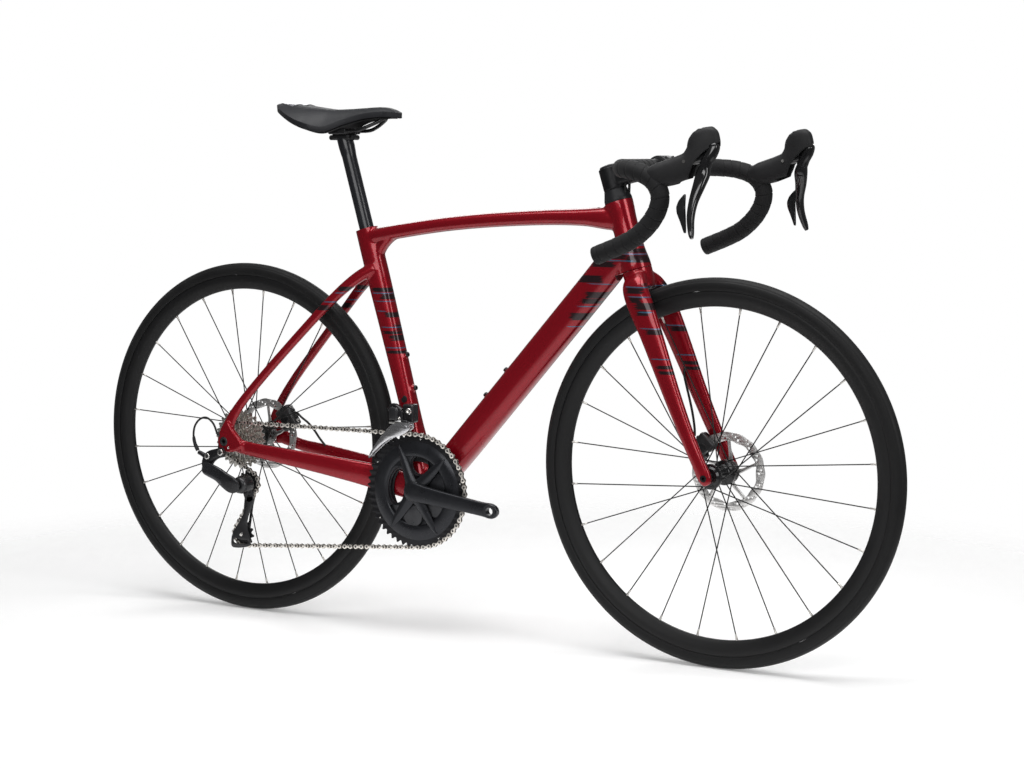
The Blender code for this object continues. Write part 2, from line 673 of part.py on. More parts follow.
def bar_tape(rows, sign):
    """A sleeve round the bar, closed over the bar's end."""
    clear = [(radius + GAP) / math.cos(math.pi / BAR_SIDES) for *_, radius in rows]
    inner = [(x, sign * y, z, radius, radius) for (x, y, z, *_), radius in zip(rows, clear)]
    end = Vector(inner[-1][:3])
    out = (end - Vector(inner[-2][:3])).normalized()
    inner[-1] = (*(end + out * 0.0006), inner[-1][3], inner[-1][4])
    outer = [(x, y, z, max(TAPE_R, radius + 0.0015), max(TAPE_R, radius + 0.0015))
             for x, y, z, radius, _ in inner]
    outer[-1] = (*(end + out * 0.0026), TAPE_R, TAPE_R)
    first = Vector(inner[0][:3]) - Vector(inner[1][:3])
    inner[0] = (*(Vector(inner[0][:3]) + first * 0.2), inner[0][3], inner[0][4])
    side = Vector((0, 0, 1))
    return cut(sweep(outer, BAR_SIDES, side=side), sweep(inner, BAR_SIDES, side=side))


HOOD = [(0.4620, 0.2058, 0.8560, 0.0110, 0.0120), (0.4820, 0.2052, 0.8560, 0.0190, 0.0168),
        (0.5040, 0.2040, 0.8605, 0.0215, 0.0168), (0.5240, 0.2025, 0.8665, 0.0220, 0.0160),
        (0.5430, 0.2005, 0.8745, 0.0228, 0.0155), (0.5570, 0.1985, 0.8895, 0.0255, 0.0152),
        (0.5635, 0.1968, 0.9075, 0.0272, 0.0145), (0.5665, 0.1955, 0.9225, 0.0222, 0.0130),
        (0.5665, 0.1950, 0.9340, 0.0120, 0.0090)]
LEVER_ROOT = [(0.5364, 0.2005, 0.8790, 0.0085, 0.0070), (0.5520, 0.2005, 0.8830, 0.0085, 0.0070),
              (0.5700, 0.2005, 0.8905, 0.0078, 0.0070), (0.5840, 0.2005, 0.8970, 0.0055, 0.0062),
              (0.5895, 0.2005, 0.8995, 0.0030, 0.0040)]
BLADE = [(0.5760, 0.2020, 0.8785, 0.0050, 0.0066), (0.5670, 0.2025, 0.8610, 0.0080, 0.0058),
         (0.5590, 0.2125, 0.8390, 0.0082, 0.0080), (0.5545, 0.2200, 0.8130, 0.0072, 0.0074),
         (0.5550, 0.2280, 0.7880, 0.0066, 0.0070), (0.5600, 0.2365, 0.7640, 0.0045, 0.0060),
         (0.5620, 0.2395, 0.7550, 0.0022, 0.0035)]
PADDLE = [(0.5420, 0.8300), (0.5355, 0.8250), (0.5315, 0.8090), (0.5335, 0.7880), (0.5400, 0.7690),
          (0.5440, 0.7690), (0.5445, 0.8000)]
LEVER_SLOT = [(0.5240, 0.8860), (0.5330, 0.8920), (0.5480, 0.8950), (0.5700, 0.9020), (0.5980, 0.9130),
              (0.6150, 0.8800), (0.5900, 0.8300), (0.5200, 0.8300), (0.5220, 0.8700)]


def build_shifter(name, sign, steering):
    """A hooded lever body with its lever root, blade and shift paddle."""
    y = sign * LEVER_PIVOT[1]
    hood = sweep(mirrored(HOOD, sign), 10, 2.5)
    clear = (TAPE_R + GAP) / math.cos(math.pi / 10)
    path = [(x, sign * y, z) for x, y, z in bar_samples()[5:15]]
    wrap = sweep(round_rows(path, clear), 10, side=Vector((0, 0, 1)))
    body = cut(hood, wrap, plate([LEVER_SLOT], y, 0.0083))
    piece("shifter_" + name, body, BLACK, 0.7, 0.0, steering)
    lever = pivot_at("brake_axis_" + name, (LEVER_PIVOT[0], y, LEVER_PIVOT[2]), steering)
    piece("lever_root_" + name, sweep(mirrored(LEVER_ROOT, sign), 10, 2.3), DARK, 0.4, 0.2, lever)
    swing = pivot_at("shift_axis_" + name, (BLADE_PIVOT[0], sign * BLADE_PIVOT[1], BLADE_PIVOT[2]), lever)
    blade = sweep(curve_through(mirrored(BLADE, sign), 1), 10, 2.2)
    piece("brake_lever_" + name, blade, BLACK, 0.3, 0.2, swing)
    axis = (PADDLE_PIVOT[0], sign * PADDLE_PIVOT[1], PADDLE_PIVOT[2])
    release = pivot_at("paddle_axis_" + name, axis, swing)
    paddle = plate([PADDLE], sign * PADDLE_PIVOT[1], 0.0030)
    piece("shift_paddle_" + name, paddle, BLACK, 0.3, 0.2, release)


# ---------------------------------------------------------------- drivetrain


def belt_path(circles, steps):
    """Points of a loop round circles of (x, z, radius, sense); sense +1 runs clockwise."""
    count = len(circles)
    lines = []
    for i in range(count):
        xi, zi, ri, si = circles[i]
        xj, zj, rj, sj = circles[(i + 1) % count]
        reach = math.hypot(xj - xi, zj - zi)
        heading = math.atan2(zj - zi, xj - xi) - math.asin((si * ri - sj * rj) / reach)
        normal = (-math.sin(heading), math.cos(heading))
        lines.append(((xi + si * ri * normal[0], zi + si * ri * normal[1]),
                      (xj + sj * rj * normal[0], zj + sj * rj * normal[1])))
    points = []
    for i in range(count):
        x, z, r, sense = circles[i]
        enter, leave = lines[i - 1][1], lines[i][0]
        a0 = math.atan2(enter[1] - z, enter[0] - x)
        a1 = math.atan2(leave[1] - z, leave[0] - x)
        turn = (a1 - a0) % (2 * math.pi)
        if sense > 0:
            turn -= 2 * math.pi
        for k in range(steps[i] + 1):
            angle = a0 + turn * k / steps[i]
            points.append((x + r * math.cos(angle), z + r * math.sin(angle), i))
        for share in (0.35, 0.65):
            points.append(tuple(p + (q - p) * share for p, q in zip(*lines[i])) + (None,))
    return points


def chain_section(web):
    """Cross-section of the chain: two side plates with a web that sits at height web."""
    outer, inner, tall = 0.0026, 0.0012, 0.0040
    low, high = web - 0.0007, web + 0.0007
    return [(-outer, -tall), (-inner, -tall), (-inner, low), (inner, low), (inner, -tall), (outer, -tall),
            (outer, tall), (inner, tall), (inner, high), (-inner, high), (-inner, tall), (-outer, tall)]


def build_chain():
    """A closed loop that straddles the teeth; its web keeps clear of them on every sprocket."""
    loop = [(BB_X, BB_Z, pitch_radius(RING_TEETH), 1), (*TENSION, pitch_radius(PULLEY_TEETH), 1),
            (*GUIDE, pitch_radius(PULLEY_TEETH), -1), (-AXLE_X, WHEEL_R, pitch_radius(COG_TEETH), 1)]
    points = belt_path(loop, (16, 7, 4, 8))
    rings = []
    count = len(points)
    for i, (x, z, sprocket) in enumerate(points):
        ahead, behind = points[(i + 1) % count], points[i - 1]
        along = Vector((ahead[0] - behind[0], ahead[1] - behind[1])).normalized()
        normal = Vector((-along.y, along.x))
        near_guide = sprocket == 2
        rings.append([(x + normal.x * h, CHAIN_Y + w, z + normal.y * h)
                      for w, h in chain_section(-0.0031 if near_guide else 0.0031)])
    piece("chain", loft(rings, closed=True), SILVER, 0.35, 1.0)


def build_cassette(pivot):
    """Eleven cogs as turned steps, with real teeth on the one that carries the chain."""
    first_y = CHAIN_Y - COGS.index(COG_TEETH) * COG_STEP
    working = COGS.index(COG_TEETH)
    edge = first_y - 0.0018
    profile = [(0.0089, edge)]
    for k, teeth in enumerate(COGS):
        radius = pitch_radius(teeth) + (-0.0075 if k == working else 0.0014)
        high = first_y + k * COG_STEP + {working - 1: 0.0008, working: 0.0030}.get(k, 0.0010)
        profile += [(radius, edge), (radius, high)]
        edge = high
    profile.append((0.0089, edge))
    body = turned_ring(profile, about_y(-AXLE_X, WHEEL_R), 14)
    centre = (-AXLE_X, WHEEL_R)
    cog = plate([gear_outline(COG_TEETH, centre), circle(0.020, 14, centre)], CHAIN_Y, TOOTH_HALF)
    piece("cassette", join(body, cog), SILVER, 0.35, 1.0, pivot)


def chainring(name, teeth, y, hole_r, pivot):
    centre = (BB_X, BB_Z)
    ring = plate([gear_outline(teeth, centre), circle(hole_r, 20, centre)], y, TOOTH_HALF)
    piece(name, ring, BLACK, 0.35, 0.4, pivot)


def crank_rows(sign, direction):
    """Arm stations from the bottom bracket to the pedal eye."""
    rows = []
    shape = ((-0.012, 0.0560, 0.0150, 0.0070), (0.000, 0.0580, 0.0185, 0.0085),
             (0.030, 0.0620, 0.0160, 0.0075), (0.090, 0.0650, 0.0140, 0.0065),
             (0.150, 0.0665, 0.0130, 0.0060), (CRANK_LENGTH, 0.0668, 0.0140, 0.0060),
             (CRANK_LENGTH + 0.010, 0.0668, 0.0120, 0.0058), (CRANK_LENGTH + 0.0155, 0.0668, 0.0060, 0.0050))
    for reach, y, depth, width in shape:
        rows.append((BB_X + direction[0] * reach, sign * y, BB_Z + direction[1] * reach, depth, width))
    return rows


def pedal_hole(direction):
    x, z = BB_X + direction[0] * CRANK_LENGTH, BB_Z + direction[1] * CRANK_LENGTH
    return rod((x, -0.1, z), (x, 0.1, z), PEDAL_HOLE_R, 14)


def pedal_boss(direction, sign):
    """The flat seat round the pedal thread, on the outer side of the arm."""
    x, z = BB_X + direction[0] * CRANK_LENGTH, BB_Z + direction[1] * CRANK_LENGTH
    return rod((x, sign * 0.0625, z), (x, sign * PEDAL_FACE_Y, z), 0.0128, 16)


def build_cranks(pivot):
    forward = (math.cos(CRANK_DROP), -math.sin(CRANK_DROP))
    backward = (-forward[0], -forward[1])
    arm = sweep(crank_rows(-1, forward), 10, 2.8)
    spindle = rod((BB_X, -0.060, BB_Z), (BB_X, 0.0470, BB_Z), 0.0120, 20)
    hub = rod((BB_X, -0.0592, BB_Z), (BB_X, -0.0501, BB_Z), 0.0203, 18)
    for turn in (52, 120, -120, -52):
        angle = math.radians(turn) - CRANK_DROP
        direction = (math.cos(angle), math.sin(angle))
        leg = [(BB_X + direction[0] * reach, y, BB_Z + direction[1] * reach, depth, width)
               for reach, y, depth, width in ((0.010, -0.0545, 0.0130, 0.0040),
                                              (0.040, -0.0535, 0.0100, 0.0038),
                                              (0.064, -0.0515, 0.0080, 0.0022))]
        hub = join(hub, sweep(leg, 8, 2.6))
    right = cut(join(arm, spindle, hub, pedal_boss(forward, -1)), pedal_hole(forward))
    piece("crank_arm_right", right, DARK, 0.3, 0.3, pivot)
    left = sweep(crank_rows(1, backward), 10, 2.8)
    boss = rod((BB_X, 0.0475, BB_Z), (BB_X, 0.0640, BB_Z), 0.0185, 20)
    left = cut(join(left, boss, pedal_boss(backward, 1)), pedal_hole(backward))
    piece("crank_arm_left", left, DARK, 0.3, 0.3, pivot)
    chainring("chainring_outer", RING_TEETH, CHAIN_Y, 0.058, pivot)
    chainring("chainring_inner", SMALL_RING_TEETH, SMALL_RING_Y, 0.052, pivot)


def build_front_derailleur():
    """A bracket on the seat tube and a two-plate cage joined by its bridge."""
    body = box((-0.134, -0.0480, 0.3950), (-0.098, -0.0215, 0.4290))
    bevel = body.modifiers.new("bevel", "BEVEL")
    bevel.width = 0.004
    bevel.segments = 1
    arm = sweep([(-0.1300, -0.030, 0.4180, 0.007, 0.006), (-0.1450, -0.0315, 0.4240, 0.006, 0.005),
                 (-0.1560, -0.0315, 0.4160, 0.004, 0.004)], 8)
    piece("front_derailleur_body", join(body, arm), BLACK, 0.4, 0.2)
    outlines = []
    angles = [math.radians(92 + 60 * k / 8) for k in range(9)]
    for inner_r, outer_r in ((0.1130, 0.1215), (0.1120, 0.1225)):
        radii = [outer_r + 0.004 * math.sin(3 * (a - angles[0])) for a in angles]
        path = list(zip(radii, angles)) + [(inner_r, a) for a in reversed(angles)]
        outlines.append([(BB_X + radius * math.cos(a), BB_Z + radius * math.sin(a)) for radius, a in path])
    outer = plate([outlines[0]], -0.0545, 0.0008)
    inner = plate([outlines[1]], -0.0415, 0.0008)
    angle = math.radians(96)
    top = (BB_X + 0.1215 * math.cos(angle), BB_Z + 0.1215 * math.sin(angle))
    bridge = box((top[0] - 0.018, -0.0550, top[1] - 0.0010), (top[0] + 0.004, -0.0410, top[1] + 0.0010))
    tail_angle = math.radians(150)
    tail = (BB_X + 0.1160 * math.cos(tail_angle), BB_Z + 0.1160 * math.sin(tail_angle))
    spacer = rod((tail[0], -0.0550, tail[1]), (tail[0], -0.0410, tail[1]), 0.0022, 8)
    piece("front_derailleur_cage", join(outer, inner, bridge, spacer), SILVER, 0.25, 1.0)


def stadium(a, b, ra, rb, sides=8):
    """Outline round two circles of different radius."""
    heading = math.atan2(b[1] - a[1], b[0] - a[0])
    lean = math.acos((ra - rb) / math.dist(a, b))
    points = []
    for centre, radius, start, turn in ((b, rb, -lean, 2 * lean), (a, ra, lean, 2 * math.pi - 2 * lean)):
        for k in range(sides + 1):
            angle = heading + start + turn * k / sides
            points.append((centre[0] + radius * math.cos(angle), centre[1] + radius * math.sin(angle)))
    return points


def build_rear_derailleur():
    centre = (-AXLE_X, WHEEL_R)
    mount = (-0.5110, 0.3180)
    outlines = [stadium(centre, mount, 0.0125, 0.0095), circle(AXLE_HOLE_R, 16, centre)]
    hanger = plate(outlines, -0.0809, 0.0020)
    piece("derailleur_hanger", hanger, BLACK, 0.5, 0.3)
    rows = [(-0.5080, -0.0885, 0.3190, 0.0110, 0.0052), (-0.5250, -0.0885, 0.3130, 0.0110, 0.0052),
            (-0.5400, -0.0880, 0.3020, 0.0105, 0.0060), (-0.5440, -0.0870, 0.2880, 0.0100, 0.0070),
            (-0.5430, -0.0865, 0.2770, 0.0065, 0.0060)]
    knuckle = sweep(rows, 10, 2.4)
    arm = rod((-0.5400, -0.0890, 0.3080), (-0.5595, -0.0890, 0.3165), 0.0042, 8)
    piece("derailleur_upper_knuckle", join(knuckle, arm), BLACK, 0.4, 0.2)
    for name, y, low, high in (("outer", -0.0990, (-0.5410, 0.2920), (-0.4820, 0.2640)),
                               ("inner", -0.0760, (-0.5380, 0.2830), (-0.4900, 0.2620))):
        link = plate([stadium(low, high, 0.0085, 0.0085)], y, 0.0028)
        piece("derailleur_link_" + name, link, BLACK, 0.35, 0.2)
    x = GUIDE[0] - 0.0025
    lower = rod((x, -0.0728, GUIDE[1]), (x, -0.0572, GUIDE[1]), 0.0150, 20)
    shoulder = box((-0.4810, -0.0955, 0.2560), (-0.4640, -0.0700, 0.2680))
    piece("derailleur_lower_knuckle", join(lower, shoulder), BLACK, 0.4, 0.2)
    build_cage()
    loop = [(-0.5200, -0.0830, 0.3560), (-0.5260, -0.0860, 0.3740), (-0.5400, -0.0880, 0.3850),
            (-0.5560, -0.0890, 0.3815), (-0.5680, -0.0895, 0.3680), (-0.5720, -0.0895, 0.3500),
            (-0.5690, -0.0892, 0.3320), (-0.5625, -0.0890, 0.3200)]
    piece("shift_cable_housing", hose(loop, 0.0020), BLACK, 0.6)


def build_cage():
    """Two cage plates; the outer one carries the two pulley bolts."""
    outline = stadium(GUIDE, TENSION, 0.0120, 0.0095)
    window = stadium((-0.4735, 0.2330), (-0.4815, 0.1830), 0.0045, 0.0045, 6)
    outer = plate([outline, window], -0.0553, 0.0008)
    bolts = [rod((x, -0.0560, z), (x, -0.0430, z), 0.0024, 10) for x, z in (GUIDE, TENSION)]
    piece("derailleur_cage_outer", join(outer, *bolts), BLACK, 0.45, 0.3)
    inner = plate([outline, window], -0.0415, 0.0008)
    piece("derailleur_cage_inner", inner, BLACK, 0.45, 0.3)


def pulley(name, centre, pivot):
    outlines = [gear_outline(PULLEY_TEETH, centre), circle(0.0028, 10, centre)]
    wheel_plate = plate(outlines, CHAIN_Y, TOOTH_HALF)
    place = about_y(*centre)
    profile = [(0.0028, CHAIN_Y - 0.0045), (0.0070, CHAIN_Y - 0.0045), (0.0070, CHAIN_Y + 0.0045),
               (0.0028, CHAIN_Y + 0.0045)]
    piece(name, join(turned_ring(profile, place, 8), wheel_plate), BLACK, 0.5, 0.0, pivot)


# ---------------------------------------------------------------- seat


# Stations from tail to nose: x, half width, height of the middle line, height of the lower rim.
SADDLE = ((-0.4120, 0.0160, 0.9850, 0.9765), (-0.4020, 0.0380, 0.9905, 0.9725),
          (-0.3830, 0.0560, 0.9895, 0.9650), (-0.3520, 0.0685, 0.9840, 0.9510),
          (-0.3230, 0.0680, 0.9790, 0.9400), (-0.2900, 0.0530, 0.9755, 0.9320),
          (-0.2550, 0.0360, 0.9755, 0.9360), (-0.2200, 0.0265, 0.9770, 0.9470),
          (-0.1850, 0.0225, 0.9780, 0.9570), (-0.1620, 0.0180, 0.9735, 0.9590),
          (-0.1500, 0.0090, 0.9665, 0.9575))
SADDLE_COVER = 0.0100


def saddle_layer(stations, top_drop, bottom_drop, inset):
    """A closed layer of the saddle between two depths below its top surface."""
    rings = []
    shares = (-1, -0.8, -0.55, -0.25, 0.25, 0.55, 0.8, 1)
    for x, half, middle, rim in stations:
        fall = middle - SADDLE_COVER - rim
        spread = [((half - inset) * s, middle - fall * abs(s) ** 2.6) for s in shares]
        top = [(x, y, z - top_drop) for y, z in spread]
        low = [(x, 0.97 * y, z - bottom_drop) for y, z in reversed(spread)]
        rings.append(top + low)
    return loft(rings)


def build_saddle(post, slider):
    piece("saddle_cover", saddle_layer(SADDLE, 0, SADDLE_COVER, 0), BLACK, 0.6, 0.0, slider)
    shell = saddle_layer(SADDLE[1:-1], SADDLE_COVER + 0.0012, SADDLE_COVER + 0.0030, 0.006)
    piece("saddle_shell", shell, BLACK, 0.5, 0.0, slider)
    half = [(-0.3830, 0.0330, 0.9655), (-0.3620, 0.0280, 0.9540), (-0.3370, RAIL_Y, 0.9385),
            (-0.3150, RAIL_Y, RAIL_Z), (-0.2350, RAIL_Y, RAIL_Z),
            (-0.2150, 0.0190, 0.9400), (-0.1950, 0.0110, 0.9490), (-0.1830, 0.0050, 0.9560)]
    full = half + [(x, -y, z) for x, y, z in reversed(half)]
    rails = sweep(round_rows(full, 0.0035), 8, side=Vector((0, 0, 1)))
    piece("saddle_rails", rails, DARK, 0.4, 0.6, slider)
    top = seat(0.6790)
    clamp = box((top.x - 0.021, -0.0268, RAIL_Z - 0.0175), (top.x + 0.021, 0.0268, RAIL_Z + 0.0046))
    bevel = clamp.modifiers.new("bevel", "BEVEL")
    bevel.width = 0.004
    bevel.segments = 1
    tunnels = [rod((top.x - 0.05, y, RAIL_Z), (top.x + 0.05, y, RAIL_Z), 0.0035 + GAP, 8)
               for y in (-RAIL_Y, RAIL_Y)]
    piece("saddle_clamp", cut(clamp, *tunnels), BLACK, 0.4, 0.4, post)
    column = [(SEATPOST_R, 0.345), (SEATPOST_R, 0.6500), (0.0150, 0.6640)]
    shape = turned_solid(column, SEAT_PLACE, 20)
    trim = box((-0.4, -0.1, RAIL_Z - 0.0178), (-0.1, 0.1, RAIL_Z + 0.05))
    piece("seatpost", cut(shape, trim), BLACK, 0.5, 0.0, post)


# ---------------------------------------------------------------- assembly


def build_rear_end(pivot_wheel, pivot_cassette):
    wheel("rear", -AXLE_X, (-0.0706, 0.0706), (0.035, -0.0195), REAR_ROTOR_Y, pivot_wheel)
    build_cassette(pivot_cassette)
    name, shape = thru_axle("rear_thru_axle", -AXLE_X, -0.0830, 0.0787, 0.0095)
    piece(name, shape, BLACK, 0.4, 0.6)
    shape = caliper(-AXLE_X, REAR_ROTOR_Y, math.radians(34))
    piece("rear_caliper", shape, BLACK, 0.4, 0.3)
    route = [(-0.3850, 0.0600, 0.3420), (-0.3920, 0.0590, 0.3560), (-0.4050, 0.0580, 0.3680),
             (-0.4200, 0.0570, 0.3780), (-0.4300, 0.0560, 0.3870)]
    piece("rear_brake_hose", hose(route, 0.0022), BLACK, 0.6)


def main():
    clear_scene()
    steering = pivot_at("steering_axis", steer(HEAD_LOW))
    front_wheel = pivot_at("front_wheel_axis", (AXLE_X, 0, WHEEL_R), steering)
    rear_wheel = pivot_at("rear_wheel_axis", (-AXLE_X, 0, WHEEL_R))
    cassette = pivot_at("cassette_axis", (-AXLE_X, 0, WHEEL_R))
    crank = pivot_at("crank_axis", (BB_X, 0, BB_Z))
    post = pivot_at("seatpost_axis", seat(SEAT_TUBE_TOP))
    saddle = pivot_at("saddle_slide", (seat(0.679).x, 0, RAIL_Z), post)
    build_frame()
    build_bearings()
    build_fork(steering)
    build_stem(steering)
    build_handlebar(steering)
    build_shifter("right", -1, steering)
    build_shifter("left", 1, steering)
    wheel("front", AXLE_X, (-0.0497, 0.0497), (0.022, -0.034), FRONT_ROTOR_Y, front_wheel)
    build_rear_end(rear_wheel, cassette)
    build_cranks(crank)
    build_chain()
    build_front_derailleur()
    build_rear_derailleur()
    for name, centre in (("guide_pulley", GUIDE), ("tension_pulley", TENSION)):
        pulley(name, centre, pivot_at(name + "_axis", (centre[0], CHAIN_Y, centre[1])))
    build_saddle(post, saddle)


main()
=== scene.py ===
"""Looks of a road bicycle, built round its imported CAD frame.

Metres; +X forward, +Y to the rider's left, +Z up, with the origin on the ground midway
between the axles. Rows inside mm() are in millimetres. Each visible piece is a finer shape
in the place of its CAD solid.
"""

import math
import random

import bmesh
import bpy
from mathutils import Matrix, Vector


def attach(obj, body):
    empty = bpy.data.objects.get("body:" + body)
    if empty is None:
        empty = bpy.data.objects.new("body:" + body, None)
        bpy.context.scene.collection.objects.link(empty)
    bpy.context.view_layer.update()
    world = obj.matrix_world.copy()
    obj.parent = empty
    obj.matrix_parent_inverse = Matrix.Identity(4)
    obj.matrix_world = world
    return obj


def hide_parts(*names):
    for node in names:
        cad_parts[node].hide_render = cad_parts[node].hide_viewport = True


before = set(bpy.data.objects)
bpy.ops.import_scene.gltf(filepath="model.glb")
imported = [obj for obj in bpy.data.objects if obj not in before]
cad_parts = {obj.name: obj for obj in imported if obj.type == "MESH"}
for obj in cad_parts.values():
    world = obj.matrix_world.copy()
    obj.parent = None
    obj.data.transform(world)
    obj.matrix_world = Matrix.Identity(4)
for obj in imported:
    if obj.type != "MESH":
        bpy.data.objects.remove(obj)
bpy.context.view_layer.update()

AXLE_X = 0.504
WHEEL_R = 0.3405
TYRE_TUBE_R = 0.015
RIM_TOP_R = WHEEL_R - 1.5 * TYRE_TUBE_R - 0.0003
RIM_FOOT_R = RIM_TOP_R - 0.0275
SPOKES = 24
AXLE_R = 0.006
AXLE_HOLE_R = 0.0063
GAP = 0.0003
MOTTLE_SCALE = 45
FRONT_ROTOR_Y = 0.039
REAR_ROTOR_Y = 0.06
ROTOR_R = 0.0694
ROTOR_INNER_R = 0.0538
ROTOR_ARMS = 5
ROTOR_RIVET_R = 0.056
ROTOR_HOLES = ((0.0585, 0.0, 0.0021), (0.0628, 0.1, 0.0017), (0.0662, 0.2, 0.0013))  # radius, turn, size
ROTOR_ARM = ((0.016, 0.0, 0.0052), (0.03, 0.16, 0.0034), (0.043, 0.26, 0.0028), (0.0565, 0.3, 0.003))
HEAD_ANGLE = math.radians(72.8)
FORK_RAKE = 0.05
STEERER_R = 0.0143
HEAD_LOW = 0.366
HEAD_HIGH = 0.489
BB_X = -0.086
BB_Z = 0.272
BB_HALF = 0.0428
BB_SHELL_R = 0.0248
BB_BORE_R = 0.0206
POST_BORE_FOOT = 0.28
STEM_LENGTH = 0.1
STEM_RISE = math.radians(11.2)
PITCH = 0.0127
LINK_R = 0.0044
OUTER_LINK_Y = 0.00215
INNER_LINK_Y = 0.00128
RING_TEETH = 52
SMALL_RING_TEETH = 36
COG_TEETH = 17
PULLEY_TEETH = 11
COGS = (11, 12, 13, 14, 15, 17, 19, 21, 23, 25, 28)
COG_STEP = 0.0038
CHAIN_Y = -0.048
SMALL_RING_Y = -0.0405
CRANK_LENGTH = 0.1725
CRANK_DROP = math.radians(7.0)
REAR = (-AXLE_X, WHEEL_R)
FRONT = (AXLE_X, WHEEL_R)
BB = (BB_X, BB_Z)
GUIDE = (-0.4706, 0.2587)
TENSION = (-0.4853, 0.1569)
SEAT_ANGLE = math.radians(74.0)
SEAT_TUBE_X = -0.0868
SEAT_TUBE_TOP = 0.499
SEATPOST_R = 0.0136
RAIL_Y = 0.022
RAIL_Z = 0.9345
BAR_R = 0.0119
BAR_CLAMP_R = 0.0159
TAPE_R = 0.0158
STEM_LOW = 0.5112
STEM_HIGH = 0.5512
LEVER_PIVOT = (0.5364, 0.2005, 0.879)
PADDLE_Y = 0.226
RIGHT = (0, -1, 0)
Y_AXIS = Vector((0, 1, 0))
Z_AXIS = Vector((0, 0, 1))
FLAT_TO_SIDE = Matrix.Rotation(math.pi / 2, 4, "X")

# ---------------------------------------------------------------- points and mesh helpers


def mm(rows):
    """Rows of numbers in millimetres, as metres."""
    return [tuple(round(value / 1000, 6) for value in row) for row in rows]


def around(centre, radius, angle):
    return centre[0] + radius * math.cos(angle), centre[1] + radius * math.sin(angle)


def ring_of(centre, count, radius_at):
    """An outline of count points about centre, with the radius that radius_at gives each."""
    return [around(centre, radius_at(k), 2 * math.pi * k / count) for k in range(count)]


def as_object(bm):
    mesh = bpy.data.meshes.new("shape")
    bm.to_mesh(mesh)
    bm.free()
    shape = bpy.data.objects.new("shape", mesh)
    bpy.context.scene.collection.objects.link(shape)
    return shape


def to_object(bm):
    """A closed solid, with its normals turned outwards."""
    bmesh.ops.recalc_face_normals(bm, faces=bm.faces)
    return as_object(bm)


def loft(rings, closed=False):
    """Skin equal rings of points; an open loft gets flat end caps."""
    bm = bmesh.new()
    rows = [[bm.verts.new(point) for point in ring] for ring in rings]
    count = len(rows[0])
    pairs = list(zip(rows, rows[1:]))
    if closed:
        pairs.append((rows[-1], rows[0]))
    for low, high in pairs:
        for i in range(count):
            j = (i + 1) % count
            bm.faces.new((low[i], low[j], high[j], high[i]))
    if not closed:
        bm.faces.new(rows[0])
        bm.faces.new(rows[-1])
    return to_object(bm)


def curve_through(rows, steps):
    """Catmull-Rom samples through rows of numbers, with steps samples to each span."""
    out = []
    last = len(rows) - 1
    for i in range(last):
        p0, p1, p2, p3 = (rows[max(0, min(last, i + k))] for k in (-1, 0, 1, 2))
        for step in range(steps):
            t = step / steps
            out.append([0.5 * (2 * b + (c - a) * t + (2 * a - 5 * b + 4 * c - d) * t * t
                               + (3 * b - a - 3 * c + d) * t ** 3)
                        for a, b, c, d in zip(p0, p1, p2, p3)])
    out.append(list(rows[last]))
    return out


def sweep(rows, sides=32, power=2.0, side=Y_AXIS, swell=None):
    """Skin superellipses along rows of (x, y, z, depth, width); width lies along side.

    swell(length, turn) scales the section at a length along the path and a turn round it.
    """
    points = [Vector(row[:3]) for row in rows]
    rings = []
    count = len(points)
    travelled = 0.0
    for i, point in enumerate(points):
        ahead, behind = points[min(i + 1, count - 1)], points[max(i - 1, 0)]
        travelled += (point - behind).length
        along = (ahead - behind).normalized()
        side = (side - along * side.dot(along)).normalized()
        across = along.cross(side)
        ring = []
        for k in range(sides):
            share = (k + 0.5) / sides
            c, s = math.cos(2 * math.pi * share), math.sin(2 * math.pi * share)
            u = math.copysign(abs(c) ** (2 / power), c)
            v = math.copysign(abs(s) ** (2 / power), s)
            grow = swell(travelled, share) if swell else 1
            ring.append(point + (side * u * rows[i][4] + across * v * rows[i][3]) * grow)
        rings.append(ring)
    return loft(rings)


def smooth(rows, steps, sides=32, power=2.0):
    """A sweep along a smooth curve through rows."""
    return sweep(curve_through(rows, steps), sides, power)


def tube(points, radius, sides=16, steps=5, side=Y_AXIS):
    return sweep([(*p, radius, radius) for p in curve_through(points, steps)], sides, side=side)


def mirrored(rows, sign):
    """Rows on the left for sign 1, or their mirror image on the right for -1."""
    return [(row[0], sign * row[1], *row[2:]) for row in rows]


def rod(start, end, radius, sides=32):
    start, end = Vector(start), Vector(end)
    along = (end - start).normalized()
    side = Vector((1, 0, 0)) if abs(along.x) < 0.9 else Y_AXIS
    return sweep([(*start, radius, radius), (*end, radius, radius)], sides, side=side)


def place_along(origin, direction):
    """A matrix whose local Z runs along direction from origin."""
    return Matrix.Translation(origin) @ Vector(direction).to_track_quat("Z", "Y").to_matrix().to_4x4()


def about_y(x, z):
    return place_along((x, 0, z), Y_AXIS)


def facing_right(spot):
    return place_along(spot, RIGHT)


def turned(profile, place, sides=64, ring=True):
    """Turn (radius, height) pairs about local Z: a closed outline, or a solid with flat ends."""
    circles = [around((0, 0), 1, 2 * math.pi * k / sides) for k in range(sides)]
    if ring:
        return loft([[place @ Vector((r * c, r * s, h)) for r, h in profile] for c, s in circles], True)
    return loft([[place @ Vector((r * c, r * s, h)) for c, s in circles] for r, h in profile])


def solid(profile, place, sides=64):
    """A turned solid with flat ends."""
    return turned(profile, place, sides, False)


def dome(radius, height, start=0.0):
    """Profile of a bolt head with a rounded rim."""
    return [(radius, start), (radius, start + 0.6 * height), (0.93 * radius, start + 0.85 * height),
            (0.8 * radius, start + height), (0.01 * radius, start + height)]


